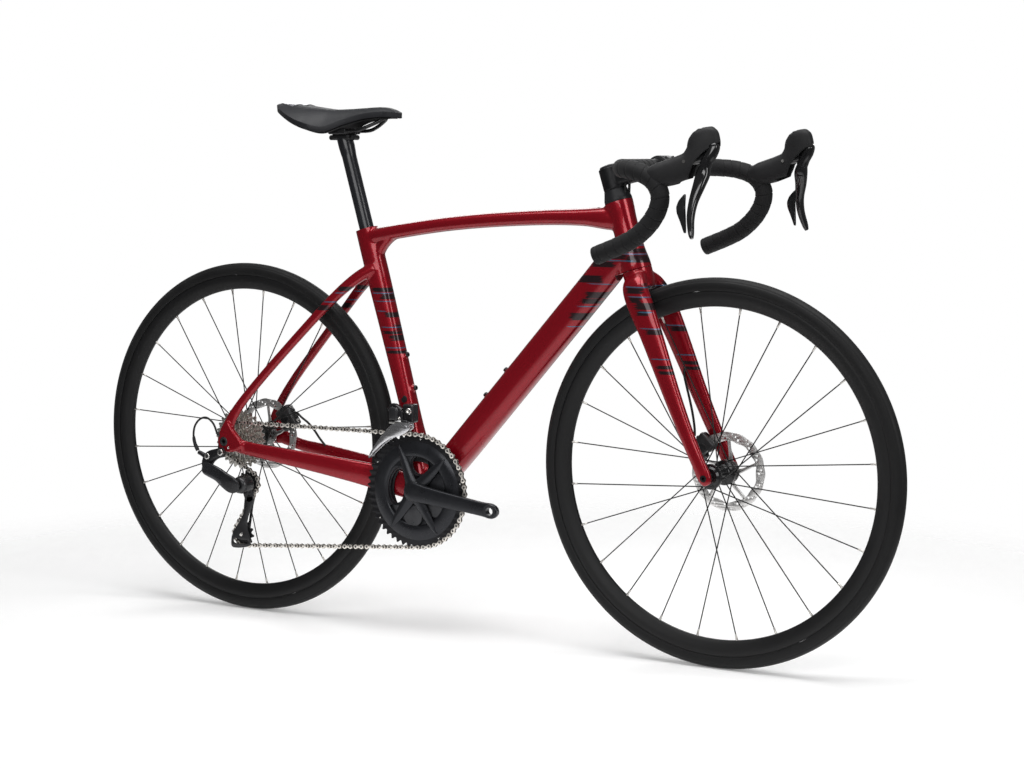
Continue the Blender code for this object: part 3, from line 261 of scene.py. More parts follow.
def bolt(place, radius, height, socket=0.5):
    """A round bolt head with a hexagon socket, facing local Z."""
    head = solid(dome(radius, height), place, 32)
    hexagon = solid([(socket * radius, 0.35 * height), (socket * radius, 2 * height)], place, 6)
    return cut(head, hexagon)


def circle(radius, sides, centre=(0, 0)):
    return ring_of(centre, sides, lambda k: radius)


def plate(outlines, y, half, bevel=0.0):
    """Extrude outlines in the XZ plane by half each way of y; the inner ones are holes."""
    curve = bpy.data.curves.new("outline", "CURVE")
    curve.dimensions = "2D"
    curve.fill_mode = "BOTH"
    curve.extrude = half - bevel
    curve.bevel_depth = bevel
    curve.offset = -bevel
    curve.bevel_resolution = 1
    for outline in outlines:
        spline = curve.splines.new("POLY")
        spline.points.add(len(outline) - 1)
        for point, (x, z) in zip(spline.points, outline):
            point.co = (x, z, 0, 1)
        spline.use_cyclic_u = True
    guide = bpy.data.objects.new("outline", curve)
    bpy.context.scene.collection.objects.link(guide)
    bpy.context.view_layer.update()
    mesh = bpy.data.meshes.new_from_object(guide.evaluated_get(bpy.context.evaluated_depsgraph_get()))
    bpy.data.objects.remove(guide, do_unlink=True)
    bm = bmesh.new()
    bm.from_mesh(mesh)
    bmesh.ops.remove_doubles(bm, verts=bm.verts, dist=1e-6)
    bmesh.ops.transform(bm, matrix=Matrix.Translation((0, y, 0)) @ FLAT_TO_SIDE, verts=bm.verts)
    return to_object(bm)


def rounded(outline, reach=0.3, passes=3):
    """Cut an outline's corners again and again, until it runs round."""
    for _ in range(passes):
        out = []
        for (x0, z0), (x1, z1) in zip(outline, outline[1:] + outline[:1]):
            out += [(x0 + (x1 - x0) * t, z0 + (z1 - z0) * t) for t in (reach, 1 - reach)]
        outline = out
    return outline


def box(low, high, place=Matrix.Identity(4), bevel=0.0, segments=4):
    bm = bmesh.new()
    bmesh.ops.create_cube(bm, size=1)
    size, middle = Vector(high) - Vector(low), (Vector(high) + Vector(low)) / 2
    bmesh.ops.transform(bm, matrix=Matrix.Translation(middle) @ Matrix.Diagonal((*size, 1)), verts=bm.verts)
    if bevel:
        bmesh.ops.bevel(bm, geom=bm.edges, offset=bevel, segments=segments, profile=0.5, affect="EDGES")
    bmesh.ops.transform(bm, matrix=place, verts=bm.verts)
    return to_object(bm)


def applied(shape):
    """Apply the modifiers of shape to its mesh."""
    bpy.context.view_layer.update()
    mesh = bpy.data.meshes.new_from_object(shape.evaluated_get(bpy.context.evaluated_depsgraph_get()))
    shape.modifiers.clear()
    shape.data = mesh
    return shape


def combine(base, tools, operation):
    for tool in tools:
        modifier = base.modifiers.new("boolean", "BOOLEAN")
        modifier.operation = operation
        modifier.solver = "EXACT"
        modifier.object = tool
        applied(base)
        bpy.data.objects.remove(tool, do_unlink=True)
    return base


def cut(base, *tools):
    return combine(base, tools, "DIFFERENCE")


def join(base, *tools):
    return combine(base, tools, "UNION")


def merged(shapes):
    """One object holding the meshes of several."""
    bm = bmesh.new()
    for shape in shapes:
        bm.from_mesh(shape.data)
        bpy.data.objects.remove(shape, do_unlink=True)
    return as_object(bm)


def moulded(shapes, voxel, passes):
    """Overlapping solids grown into one skin, with its inner corners eased into fillets."""
    whole = merged(shapes)
    skin = whole.modifiers.new("skin", "REMESH")
    skin.mode = "VOXEL"
    skin.voxel_size = voxel
    ease = whole.modifiers.new("ease", "SMOOTH")
    ease.factor = 0.5
    ease.iterations = passes
    return applied(whole)


def copies(shape, matrices):
    """One object with shape repeated at each matrix."""
    bm = bmesh.new()
    for matrix in matrices:
        start = len(bm.verts)
        bm.from_mesh(shape.data)
        bm.verts.ensure_lookup_table()
        bmesh.ops.transform(bm, matrix=matrix, verts=bm.verts[start:])
    bpy.data.objects.remove(shape, do_unlink=True)
    return as_object(bm)


def show(shape, name, body, look, replaced=(), angle=38):
    """Name a finished piece, give it its look and hang it on its body."""
    shape.name = name
    shape.data.name = name
    if look:
        shape.data.materials.clear()
        shape.data.materials.append(LOOKS[look])
    shape.data.shade_smooth()
    shape.data.set_sharp_from_angle(angle=math.radians(angle))
    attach(shape, body)
    if replaced:
        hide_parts(*replaced)
    return shape


# ---------------------------------------------------------------- materials


def add(tree, kind, inputs=(), **settings):
    """A node with its settings, its inputs given as (socket, value or other socket) pairs."""
    node = tree.nodes.new(kind)
    for key, value in settings.items():
        setattr(node, key, value)
    for key, value in inputs:
        if isinstance(value, bpy.types.NodeSocket):
            tree.links.new(value, node.inputs[key])
        else:
            node.inputs[key].default_value = value
    return node


def mix(tree, factor, first, second):
    node = add(tree, "ShaderNodeMix", [(0, factor), (6, first), (7, second)], data_type="RGBA")
    return node.outputs[2]


def math_node(tree, operation, *values):
    return add(tree, "ShaderNodeMath", list(enumerate(values)), operation=operation).outputs[0]


def vectors(tree, operation, *values):
    return add(tree, "ShaderNodeVectorMath", list(enumerate(values)), operation=operation).outputs[0]


def split_xyz(tree, vector):
    return add(tree, "ShaderNodeSeparateXYZ", [(0, vector)]).outputs


def noise(tree, place, scale, detail, output="Fac"):
    pairs = [("Vector", place), ("Scale", scale), ("Detail", detail)]
    return add(tree, "ShaderNodeTexNoise", pairs).outputs[output]


def ranged(tree, value, low, high, to_low, to_high):
    pairs = [("Value", value), (1, low), (2, high), (3, to_low), (4, to_high)]
    return add(tree, "ShaderNodeMapRange", pairs).outputs[0]


def scaled(colour, share):
    return (*(min(1, c * share) for c in colour), 1)


def bare(name, roughness, metallic, coat, sheen, specular=0.3):
    material = bpy.data.materials.new(name)
    material.use_nodes = True
    tree = material.node_tree
    shader = tree.nodes["Principled BSDF"]
    shader.inputs["Metallic"].default_value = metallic
    shader.inputs["Roughness"].default_value = roughness
    shader.inputs["Specular IOR Level"].default_value = specular
    shader.inputs["Coat Weight"].default_value = coat
    shader.inputs["Coat Roughness"].default_value = 0.04
    shader.inputs["Sheen Weight"].default_value = sheen
    place = add(tree, "ShaderNodeTexCoord").outputs["Object"]
    return material, tree, shader, place


def bumped(tree, shader, height, strength, distance):
    bump = add(tree, "ShaderNodeBump", [("Height", height), ("Strength", strength), ("Distance", distance)])
    tree.links.new(bump.outputs[0], shader.inputs["Normal"])


def surface(name, colour, roughness, metallic=0.0, coat=0.0, sheen=0.0, mottle=0.18,
            spread=0.08, grain="noise", grain_scale=900, grain_depth=0.25, stretch=(1, 1, 1), wear=0.0):
    """A finish with soft colour and gloss changes, a fine grain in relief and worn edges."""
    material, tree, shader, place = bare(name, roughness, metallic, coat, sheen)
    mapped = add(tree, "ShaderNodeMapping", [("Vector", place), ("Scale", stretch)]).outputs[0]
    fac = noise(tree, mapped, MOTTLE_SCALE, 5.0)
    tone = mix(tree, fac, scaled(colour, 1 - mottle), scaled(colour, 1 + mottle))
    if wear:
        edge = add(tree, "ShaderNodeNewGeometry").outputs["Pointiness"]
        rub = ranged(tree, edge, 0.52, 0.62, 0.0, wear)
        patchy = math_node(tree, "MULTIPLY", rub, fac)
        tone = mix(tree, patchy, tone, (0.35, 0.35, 0.36, 1))
    tree.links.new(tone, shader.inputs["Base Color"])
    gloss = ranged(tree, fac, 0.3, 0.7, roughness - spread, roughness + spread)
    tree.links.new(gloss, shader.inputs["Roughness"])
    if grain == "noise":
        relief = noise(tree, mapped, grain_scale, 3.0)
    else:
        relief = add(tree, "ShaderNodeTexVoronoi", [("Vector", mapped), ("Scale", grain_scale)]).outputs[0]
    bumped(tree, shader, relief, grain_depth, 0.0002)
    return material


def turned_metal(name, colour, roughness, centre, metallic=1.0, lines=5000):
    """Metal with fine lines that run round a wheel's axis."""
    material, tree, shader, place = bare(name, roughness, metallic, 0.0, 0.0)
    split = split_xyz(tree, place)
    x = math_node(tree, "SUBTRACT", split[0], centre[0])
    z = math_node(tree, "SUBTRACT", split[2], centre[1])
    squares = math_node(tree, "ADD", math_node(tree, "MULTIPLY", x, x), math_node(tree, "MULTIPLY", z, z))
    radius = math_node(tree, "SQRT", squares)
    line = add(tree, "ShaderNodeTexNoise", [("W", math_node(tree, "MULTIPLY", radius, lines)), ("Scale", 1.0),
                                            ("Detail", 4.0)], noise_dimensions="1D").outputs["Fac"]
    cloud = noise(tree, place, 50.0, 4.0)
    most, rest = math_node(tree, "MULTIPLY", line, 0.7), math_node(tree, "MULTIPLY", cloud, 0.3)
    both = math_node(tree, "ADD", most, rest)
    tree.links.new(mix(tree, both, scaled(colour, 0.7), scaled(colour, 1.25)), shader.inputs["Base Color"])
    tree.links.new(ranged(tree, both, 0.3, 0.7, roughness - 0.08, roughness + 0.1), shader.inputs["Roughness"])
    bumped(tree, shader, line, 0.12, 0.0001)
    return material


# Level brush streaks of the paint, as (back x, front x, height, half width of the stroke).
BLACK_STREAKS = mm([(-203, -150, 639.3, 4), (-184, -150, 626.5, 5), (-173, -138, 593, 5), (-155, -132, 571.5, 8),
                    (-180, -130, 560, 2.8), (-162, -128, 550.5, 5.5), (-169, -130, 524, 3),
                    (-264, -236, 640, 4.6), (-308, -282, 604, 5.2), (326, 395, 724, 4), (334, 400, 709.8, 6.6),
                    (298, 334, 712.5, 4), (262, 312, 699, 5.2), (236, 288, 672.5, 6.6), (255, 300, 644, 6.2),
                    (246, 280, 633, 4.8), (222, 266, 605, 6.8), (347, 381, 656, 5), (378, 405, 665.5, 5),
                    (354, 379, 640, 4.5), (366, 412, 630, 6.2), (372, 396, 618, 4.2), (392, 424, 586.2, 4.5),
                    (411, 444, 526.8, 3.2), (416, 448, 517.6, 3)])
BLUE_STREAKS = mm([(-200, -150, 632.9, 1.1), (-196, -165, 618, 0.9), (-192, -172, 599.4, 1),
                   (-183, -134, 569.8, 0.9), (-173, -128, 531.8, 0.9), (-270, -252, 632.2, 1),
                   (-292, -268, 615, 1.1), (352, 384, 733, 1.2), (326, 372, 718, 1.1), (294, 350, 706, 1.2),
                   (260, 302, 664, 1), (238, 280, 623.5, 1), (218, 246, 586.5, 1), (345, 397, 662.2, 1.1),
                   (352, 394, 645.8, 1), (376, 396, 619.8, 1), (378, 416, 592, 1), (402, 435, 540.5, 1)])


def streaks(tree, place, strokes):
    """A mask of strokes in the side view, as wide at any place across the frame."""
    mask = 0.0
    for back, front, height, half in strokes:
        centre, size = ((back + front) / 2, 0, height), (2 / (front - back), 0, 1 / half)
        offset = vectors(tree, "MULTIPLY", vectors(tree, "SUBTRACT", place, centre), size)
        sides = split_xyz(tree, vectors(tree, "ABSOLUTE", offset))
        reach = math_node(tree, "MAXIMUM", sides[0], sides[2])
        mask = math_node(tree, "MAXIMUM", mask, ranged(tree, reach, 0.88, 1.06, 1.0, 0.0))
    return mask


def candy_paint():
    """Clear-coated candy red with metal flake, and level brush streaks in black and slate blue."""
    material, tree, shader, place = bare("frame_paint", 0.3, 0.45, 0.55, 0.0, 0.2)
    flake = add(tree, "ShaderNodeTexVoronoi", [("Vector", place), ("Scale", 2600.0)]).outputs["Color"]
    sparkle = split_xyz(tree, flake)[0]
    cloud = noise(tree, place, 14.0, 3.0)
    red = mix(tree, sparkle, (0.22, 0.002, 0.008, 1), (0.36, 0.005, 0.016, 1))
    red = mix(tree, math_node(tree, "MULTIPLY", cloud, 0.35), red, (0.17, 0.001, 0.005, 1))
    stretch = add(tree, "ShaderNodeMapping", [("Vector", place), ("Scale", (30, 30, 950))]).outputs[0]
    bristle = noise(tree, stretch, 1.0, 3.0, "Color")
    ragged = vectors(tree, "SUBTRACT", bristle, (0.5, 0.5, 0.5))
    brushed = vectors(tree, "ADD", place, vectors(tree, "MULTIPLY", ragged, (0.03, 0.0, 0.0012)))
    tone = red
    for strokes, colour in ((BLACK_STREAKS, (0.011, 0.011, 0.013, 1)), (BLUE_STREAKS, (0.05, 0.13, 0.215, 1))):
        mask = streaks(tree, brushed, strokes)
        tone = mix(tree, math_node(tree, "MULTIPLY", mask, 0.95), tone, colour)
    tree.links.new(tone, shader.inputs["Base Color"])
    tree.links.new(ranged(tree, cloud, 0.3, 0.7, 0.24, 0.34), shader.inputs["Roughness"])
    orange_peel = noise(tree, place, 240.0, 2.0)
    bumped(tree, shader, orange_peel, 0.05, 0.0003)
    return material


def tyre_rubber(name, axle_x):
    """Rubber with a fine cross-hatch tread."""
    material, tree, shader, place = bare(name, 0.6, 0.0, 0.0, 0.06, 0.22)
    split = split_xyz(tree, place)
    x = math_node(tree, "SUBTRACT", split[0], axle_x)
    z = math_node(tree, "SUBTRACT", split[2], WHEEL_R)
    round_way = math_node(tree, "MULTIPLY", math_node(tree, "ARCTAN2", z, x), 520.0)
    across = math_node(tree, "MULTIPLY", split[1], 900.0)
    hatch = math_node(tree, "MULTIPLY", math_node(tree, "SINE", math_node(tree, "ADD", round_way, across)),
                      math_node(tree, "SINE", math_node(tree, "SUBTRACT", round_way, across)))
    cloud = noise(tree, place, 25.0, 6.0)
    dust = noise(tree, place, 700.0, 2.0)
    tone = mix(tree, cloud, (0.0035, 0.0035, 0.0038, 1), (0.009, 0.009, 0.0095, 1))
    tree.links.new(tone, shader.inputs["Base Color"])
    tree.links.new(ranged(tree, cloud, 0.3, 0.7, 0.48, 0.66), shader.inputs["Roughness"])
    height = math_node(tree, "ADD", math_node(tree, "MULTIPLY", hatch, 0.5), dust)
    bumped(tree, shader, height, 0.22, 0.0003)
    return material


def wrapped_tape():
    """Perforated, leather-like bar tape."""
    material, tree, shader, place = bare("tape", 0.72, 0.0, 0.0, 0.08, 0.2)
    cloud = noise(tree, place, 60.0, 5.0)
    grain = add(tree, "ShaderNodeTexVoronoi", [("Vector", place), ("Scale", 900.0)]).outputs["Distance"]
    pores = add(tree, "ShaderNodeTexVoronoi", [("Vector", place), ("Scale", 260.0), ("Randomness", 0.15)])
    dots = ranged(tree, pores.outputs["Distance"], 0.12, 0.2, 0.0, 1.0)
    tone = mix(tree, cloud, (0.006, 0.006, 0.0065, 1), (0.014, 0.014, 0.015, 1))
    tree.links.new(mix(tree, dots, (0.006, 0.006, 0.006, 1), tone), shader.inputs["Base Color"])
    tree.links.new(ranged(tree, cloud, 0.3, 0.7, 0.6, 0.8), shader.inputs["Roughness"])
    bumped(tree, shader, math_node(tree, "ADD", math_node(tree, "MULTIPLY", grain, 0.5), dots), 0.3, 0.0003)
    return material


LOOKS = {
    "frame_paint": candy_paint(),
    "front_tyre": tyre_rubber("front_tyre_rubber", AXLE_X),
    "rear_tyre": tyre_rubber("rear_tyre_rubber", -AXLE_X),
    "front_rim": turned_metal("front_rim_black", (0.006, 0.006, 0.0065), 0.5, FRONT, 0.0, 3000),
    "rear_rim": turned_metal("rear_rim_black", (0.006, 0.006, 0.0065), 0.5, REAR, 0.0, 3000),
    "front_rotor": turned_metal("front_rotor_steel", (0.78, 0.77, 0.76), 0.34, FRONT),
    "rear_rotor": turned_metal("rear_rotor_steel", (0.78, 0.77, 0.76), 0.34, REAR),
    "cogs": turned_metal("cog_steel", (0.66, 0.64, 0.6), 0.34, REAR, 1.0, 2500),
    "ring_black": turned_metal("ring_black", (0.018, 0.018, 0.02), 0.34, BB, 0.5, 2500),
    "hub_black": surface("hub_black", (0.012, 0.012, 0.013), 0.26, 0.4, 0.4, wear=0.3),
    "spoke_black": surface("spoke_black", (0.02, 0.02, 0.02), 0.35, 0.5, wear=0.0),
    "nipple": surface("nipple_silver", (0.6, 0.58, 0.55), 0.3, 1.0),
    "steel": surface("polished_steel", (0.66, 0.65, 0.63), 0.22, 1.0, wear=0.2),
    "chain_plate": surface("chain_plate", (0.86, 0.81, 0.75), 0.3, 0.75, grain_scale=1500),
    "chain_inner": surface("chain_inner", (0.16, 0.145, 0.13), 0.36, 1.0, grain_scale=1500),
    "bolt_black": surface("bolt_black", (0.015, 0.015, 0.016), 0.3, 0.6, wear=0.4),
    "axle_black": surface("axle_black", (0.015, 0.015, 0.016), 0.35, 0.6, wear=0.4),
    "caliper_black": surface("caliper_black", (0.014, 0.014, 0.015), 0.38, 0.3, 0.2, wear=0.4),
    "crank_grey": surface("crank_grey", (0.024, 0.025, 0.029), 0.32, 0.6, 0.12, mottle=0.1, wear=0.25,
                          grain_scale=2200, grain_depth=0.15),
    "derailleur_black": surface("derailleur_black", (0.016, 0.016, 0.018), 0.32, 0.4, 0.3, wear=0.4),
    "derailleur_gloss": surface("derailleur_gloss", (0.03, 0.031, 0.036), 0.2, 0.6, 0.8, wear=0.2),
    "cage_silver": surface("cage_silver", (0.72, 0.72, 0.74), 0.2, 1.0, grain_scale=1200, stretch=(1, 1, 6)),
    "lever_gloss": surface("lever_gloss", (0.01, 0.01, 0.011), 0.16, 0.2, 1.0, spread=0.04, wear=0.15),
    "hood_rubber": surface("hood_rubber", (0.008, 0.008, 0.009), 0.6, 0.0, 0.0, 0.05, grain="voronoi",
                           grain_scale=1100, grain_depth=0.35),
    "tape": wrapped_tape(),
    "bar_black": surface("bar_black", (0.008, 0.008, 0.009), 0.42, 0.3, wear=0.3),
    "cover_plastic": surface("cover_plastic", (0.012, 0.0125, 0.014), 0.45, 0.0, grain_scale=1500),
    "hose_black": surface("hose_black", (0.011, 0.011, 0.011), 0.42, 0.0, grain_scale=1300),
    "saddle_skin": surface("saddle_skin", (0.011, 0.0115, 0.014), 0.5, 0.0, 0.0, 0.06, mottle=0.14,
                           grain="voronoi", grain_scale=1500, grain_depth=0.3),
    "saddle_patch": surface("saddle_patch", (0.24, 0.24, 0.26), 0.22, 0.3, 0.6, grain_scale=1500),
    "shell_plastic": surface("shell_plastic", (0.011, 0.011, 0.012), 0.5, 0.0),
    "rail_metal": surface("rail_metal", (0.02, 0.02, 0.021), 0.25, 0.7, 0.3, wear=0.2),
    "post_carbon": surface("post_carbon", (0.015, 0.016, 0.019), 0.32, 0.1, 0.35, mottle=0.2, grain_scale=700,
                           stretch=(1, 1, 0.15)),
}


# ---------------------------------------------------------------- reference lines


def steer(height, forward=0.0, y=0.0):
    """A point by its height up the steering axis and its distance in front of it."""
    rise = Vector((-math.cos(HEAD_ANGLE), 0, math.sin(HEAD_ANGLE)))
    front = Vector((math.sin(HEAD_ANGLE), 0, math.cos(HEAD_ANGLE)))
    foot = Vector((AXLE_X - FORK_RAKE / math.sin(HEAD_ANGLE), y, WHEEL_R))
    return foot + rise * height + front * forward


def seat(height):
    """A point on the seat tube's axis."""
    rise = Vector((-math.cos(SEAT_ANGLE), 0, math.sin(SEAT_ANGLE)))
    return Vector((SEAT_TUBE_X, 0, BB_Z)) + rise * height


STEER_PLACE = place_along(steer(0), steer(1) - steer(0))
SEAT_PLACE = place_along(seat(0), seat(1) - seat(0))

# ---------------------------------------------------------------- wheels


def tyre_profile():
    """A round casing with two fine grooves that part the tread from the sidewalls."""
    middle = WHEEL_R - TYRE_TUBE_R
    points = []
    for degrees in range(-120, 121, 5):
        groove = 0.0006 if abs(degrees) == 55 else 0.0
        radius = TYRE_TUBE_R - groove
        points.append(around((middle, 0), radius, math.radians(degrees)))
    return points


def rim_profile():
    half = ((RIM_TOP_R, 0.0118), (RIM_TOP_R - 0.0015, 0.0127), (RIM_TOP_R - 0.004, 0.0129),
            (RIM_TOP_R - 0.01, 0.0129), (RIM_TOP_R - 0.0155, 0.0108), (RIM_TOP_R - 0.021, 0.008),
            (RIM_TOP_R - 0.0253, 0.0056), (RIM_FOOT_R + 0.0006, 0.0036), (RIM_FOOT_R, 0.0018))
    return list(half) + [(r, -y) for r, y in reversed(half)]


def spoke_ends(place, left_y, right_y):
    """Start and end of each spoke: two-cross lacing, as in the CAD."""
    for side, y in enumerate((left_y, right_y)):
        for k in range(SPOKES // 2):
            lean = 1 if k % 2 else -1
            hub_angle = 2 * math.pi * (k + side / 2 + 0.25) / (SPOKES // 2)
            rim_angle = hub_angle + lean * math.radians(60)
            start = Vector((*around((0, 0), 0.0195, hub_angle), y + lean * 0.0015))
            end = Vector((*around((0, 0), RIM_FOOT_R, rim_angle), 0))
            yield place @ start, place @ end


def hub_profile(ends, left_y, right_y, rotor_y):
    low, high = ends
    return [(AXLE_R + GAP, low), (0.0085, low), (0.0085, right_y - 0.0075), (0.015, right_y - 0.0068),
            (0.018, right_y - 0.0032), (0.022, right_y - 0.0026), (0.0222, right_y - 0.001),
            (0.0222, right_y + 0.0012), (0.0215, right_y + 0.0026), (0.016, right_y + 0.004),
            (0.0122, right_y + 0.0078), (0.0108, right_y + 0.012), (0.0104, (left_y + right_y) / 2),
            (0.0108, left_y - 0.012), (0.0122, left_y - 0.0078), (0.016, left_y - 0.004),
            (0.0215, left_y - 0.0026), (0.0222, left_y - 0.0012), (0.0222, left_y + 0.001),
            (0.0215, left_y + 0.0026), (0.0165, left_y + 0.0045), (0.016, rotor_y + 0.0028),
            (0.0115, rotor_y + 0.004), (0.0085, rotor_y + 0.0052), (0.0085, high), (AXLE_R + GAP, high)]


def rotor(prefix, axle_x, y, body):
    """A brake disc: a drilled steel track on a dark five-armed carrier with a lock ring."""
    centre = (axle_x, WHEEL_R)
    holes = []
    for k in range(15):
        for radius, shift, size in ROTOR_HOLES:
            holes.append(circle(size, 10, around(centre, radius, 2 * math.pi * k / 15 + shift)))
    wave = ring_of(centre, 150, lambda k: ROTOR_R + 0.0006 * math.cos(2 * math.pi * k / 10))
    inner = ring_of(centre, 120, lambda k: ROTOR_INNER_R - 0.0012 * math.cos(2 * math.pi * k / 12))
    track = plate([wave, inner] + holes, y, 0.0009, 0.0002)
    show(track, prefix + "_rotor_track", body, prefix + "_rotor", (prefix + "_rotor",))
    arms = []
    for k in range(ROTOR_ARMS):
        start = 2 * math.pi * k / ROTOR_ARMS
        rows = [(axle_x + r * math.cos(start + a), y, WHEEL_R + r * math.sin(start + a), half, 0.00125)
                for r, a, half in ROTOR_ARM]
        arms.append(smooth(rows, 4, 12, 4))
    hub_ring = turned([(0.0162, y - 0.0013), (0.0215, y - 0.0013), (0.0215, y + 0.0013), (0.0162, y + 0.0013)],
                      about_y(axle_x, WHEEL_R))
    show(merged(arms + [hub_ring]), prefix + "_rotor_carrier", body, prefix + "_rotor")
    rivets = []
    for side in (-1, 1):
        for k in range(ROTOR_ARMS):
            x, z = around(centre, ROTOR_RIVET_R, 2 * math.pi * k / ROTOR_ARMS + 0.3)
            rivet = place_along((x, y + side * 0.0012, z), (0, side, 0))
            rivets.append(solid(dome(0.0024, 0.0009, -0.0005), rivet, 16))
    show(merged(rivets), prefix + "_rotor_rivets", body, "steel")
    teeth = ring_of(centre, 32, lambda k: 0.0164 if k % 4 < 2 else 0.0152)
    ring = plate([teeth, circle(0.0118, 32, centre)], y + 0.0034, 0.0012, 0.0003)
    show(ring, prefix + "_lock_ring", body, "bolt_black")


NIPPLE = mm([(1.2, 0), (1.7, 0.6), (1.8, 7), (2.2, 8.5), (2.2, 11.8)])


def wheel(prefix, axle_x, body, ends, flanges, rotor_y):
    """Tyre, rim, hub, spokes and brake disc; ends and flanges are places along the axle."""
    left_y, right_y = flanges
    place = about_y(axle_x, WHEEL_R)
    for part, suffix, profile in (("_tyre", "_casing", tyre_profile()), ("_rim", "_hoop", rim_profile())):
        node = prefix + part
        show(turned(profile, place, 200), node + suffix, body, node, (node,), 50)
    hub = turned(hub_profile(ends, left_y, right_y, rotor_y), place, 72)
    show(hub, prefix + "_hub_shell", body, "hub_black", (prefix + "_hub",))
    wires, nipples, heads = [], [], []
    for start, end in spoke_ends(place, left_y, right_y):
        along = (end - start).normalized()
        wires.append(rod(start, end - along * 0.004, 0.00108, 8))
        outward = (0, math.copysign(1, start.y - sum(flanges) / 2), 0)
        heads.append(solid(dome(0.0021, 0.0008), place_along(start, outward), 10))
        nipple = place_along(end - along * 0.0115, along)
        nipples.append(solid(NIPPLE, nipple, 10))
    show(merged(wires + heads), prefix + "_spokes", body, "spoke_black")
    show(merged(nipples), prefix + "_nipples", body, "nipple")
    rotor(prefix, axle_x, rotor_y, body)


def thru_axle(name, body, axle_x, low, high, head):
    """An axle from low to high along Y, with a head of its own radius and hexagon sockets."""
    place = about_y(axle_x, WHEEL_R)
    profile = [(AXLE_R - 0.0006, low), (AXLE_R, low + 0.0008), (AXLE_R, high), (head, high),
               (head, high + 0.0016), (0.93 * head, high + 0.0026), (0.7 * head, high + 0.0034)]
    shape = solid(profile, place, 48)
    socket = solid([(0.003, high - 0.004), (0.003, high + 0.02)], place, 6)
    far = solid([(0.003, low - 0.01), (0.003, low + 0.006)], place, 6)
    show(cut(shape, socket, far), name + "_rod", body, "axle_black", (name,))


def caliper(prefix, body, axle_x, rotor_y, lean):
    """A two-piece brake caliper with its piston caps, bolts and pad fins."""
    place = Matrix.Translation((axle_x, rotor_y, WHEEL_R)) @ Matrix.Rotation(-lean, 4, "Y")
    body_shape = box((0.0445, -0.0132, -0.0225), (0.0795, 0.0082, 0.0225), place, 0.0045, 3)
    slot = box((0.03, -0.0037, -0.04), (0.0725, 0.0037, 0.04), place)
    waist = box((0.03, -0.03, -0.006), (0.05, 0.03, 0.006), place, 0.003, 3)
    body_shape = cut(body_shape, slot, waist)
    show(body_shape, prefix + "_caliper_body", body, "caliper_black", (prefix + "_caliper",))
    caps = []
    for side, reach in ((-1, 0.013), (1, 0.008)):
        spot = place @ Vector((0.06, side * reach, 0))
        caps.append(solid(dome(0.01, 0.0012), place_along(spot, (0, side, 0)), 40))
    show(merged(caps), prefix + "_caliper_caps", body, "caliper_black")
    out = (place.to_3x3() @ Vector((1, 0, 0))).normalized()
    screws = [bolt(place_along(place @ Vector((0.0785, -0.003, z)), out), 0.0036, 0.0022)
              for z in (-0.016, 0.016)]
    show(merged(screws), prefix + "_caliper_bolts", body, "steel")
    fins = merged([box((0.079, y - 0.0006, z - 0.002), (0.0825, y + 0.0006, z + 0.002), place)
                   for y in (-0.005, -0.002, 0.001) for z in (-0.007, 0.0, 0.007)])
    show(fins, prefix + "_caliper_fins", body, "bolt_black")


# ---------------------------------------------------------------- frame and fork


CHAINSTAY = mm([(-78, 20, 269, 19, 12), (-105, 26.5, 273, 21.5, 10.5), (-130, 29, 278.5, 23, 8.8),
                (-160, 30, 285, 23.5, 8.2), (-195, 35, 291.5, 22.8, 8.2), (-240, 44.5, 299.5, 20.5, 8),
                (-300, 54, 308.5, 18, 7.2), (-370, 63.5, 318, 15.5, 6.6), (-430, 69.5, 325.5, 13.5, 5.8),
                (-470, 73.5, 332, 13.5, 4.3), (-492, 74.8, 338.5, 14.5, 3.6), (-512, 74.8, 340.5, 12, 3.6)])
SEATSTAY = mm([(-200, 10, 680, 11, 10), (-229, 20, 663, 10.5, 9), (-263.5, 31, 635, 9.2, 7.5),
               (-310, 42, 589, 8.3, 6.6), (-370, 52, 527, 8, 6.2), (-428.5, 61, 465, 8, 6),
               (-468, 68.5, 419, 8.4, 5.5), (-489, 73.5, 388, 10, 4.3), (-499.5, 74.8, 364, 12, 3.6),
               (-504, 74.8, 344, 12.5, 3.6)])
DOWN_TUBE = mm([(-77, 0, 279, 23.5, 37), (-18.7, 0, 344, 27.2, 29), (74.5, 0, 449, 28.2, 24.5),
                (172.1, 0, 559, 28.2, 23.5), (252, 0, 649, 28, 24), (296, 0, 699.5, 27.5, 24),
                (322, 0, 730, 22, 21.5)])
TOP_TUBE = mm([(-220, 0, 736, 13.5, 16.5), (-165, 0, 746, 12.5, 16.5), (-60, 0, 761.5, 12.2, 17.5),
               (41, 0, 771.5, 12.4, 18), (150, 0, 778, 13, 19), (235, 0, 780, 14.8, 21),
               (285, 0, 779, 19.5, 22.5), (308, 0, 778, 20, 20)])
GUSSET = mm([(-201, 0, 700, 9, 11.2), (-190.5, 0, 720, 10, 12.2), (-175, 0, 734, 8.5, 12.2),
             (-156, 0, 743, 6, 11.2)])
SEAT_TUBE = [(0.012, 0.002, 0.018, 0.033), (0.06, 0.002, 0.0165, 0.025), (0.107, 0.0018, 0.0155, 0.0195),
             (0.172, 0.0012, 0.0165, 0.0175), (0.289, 0.0005, 0.019, 0.0172), (0.397, 0.0, 0.0212, 0.0172),
             (0.455, 0.0, 0.0213, 0.0172), (SEAT_TUBE_TOP + 0.004, 0.0, 0.0205, 0.0175)]
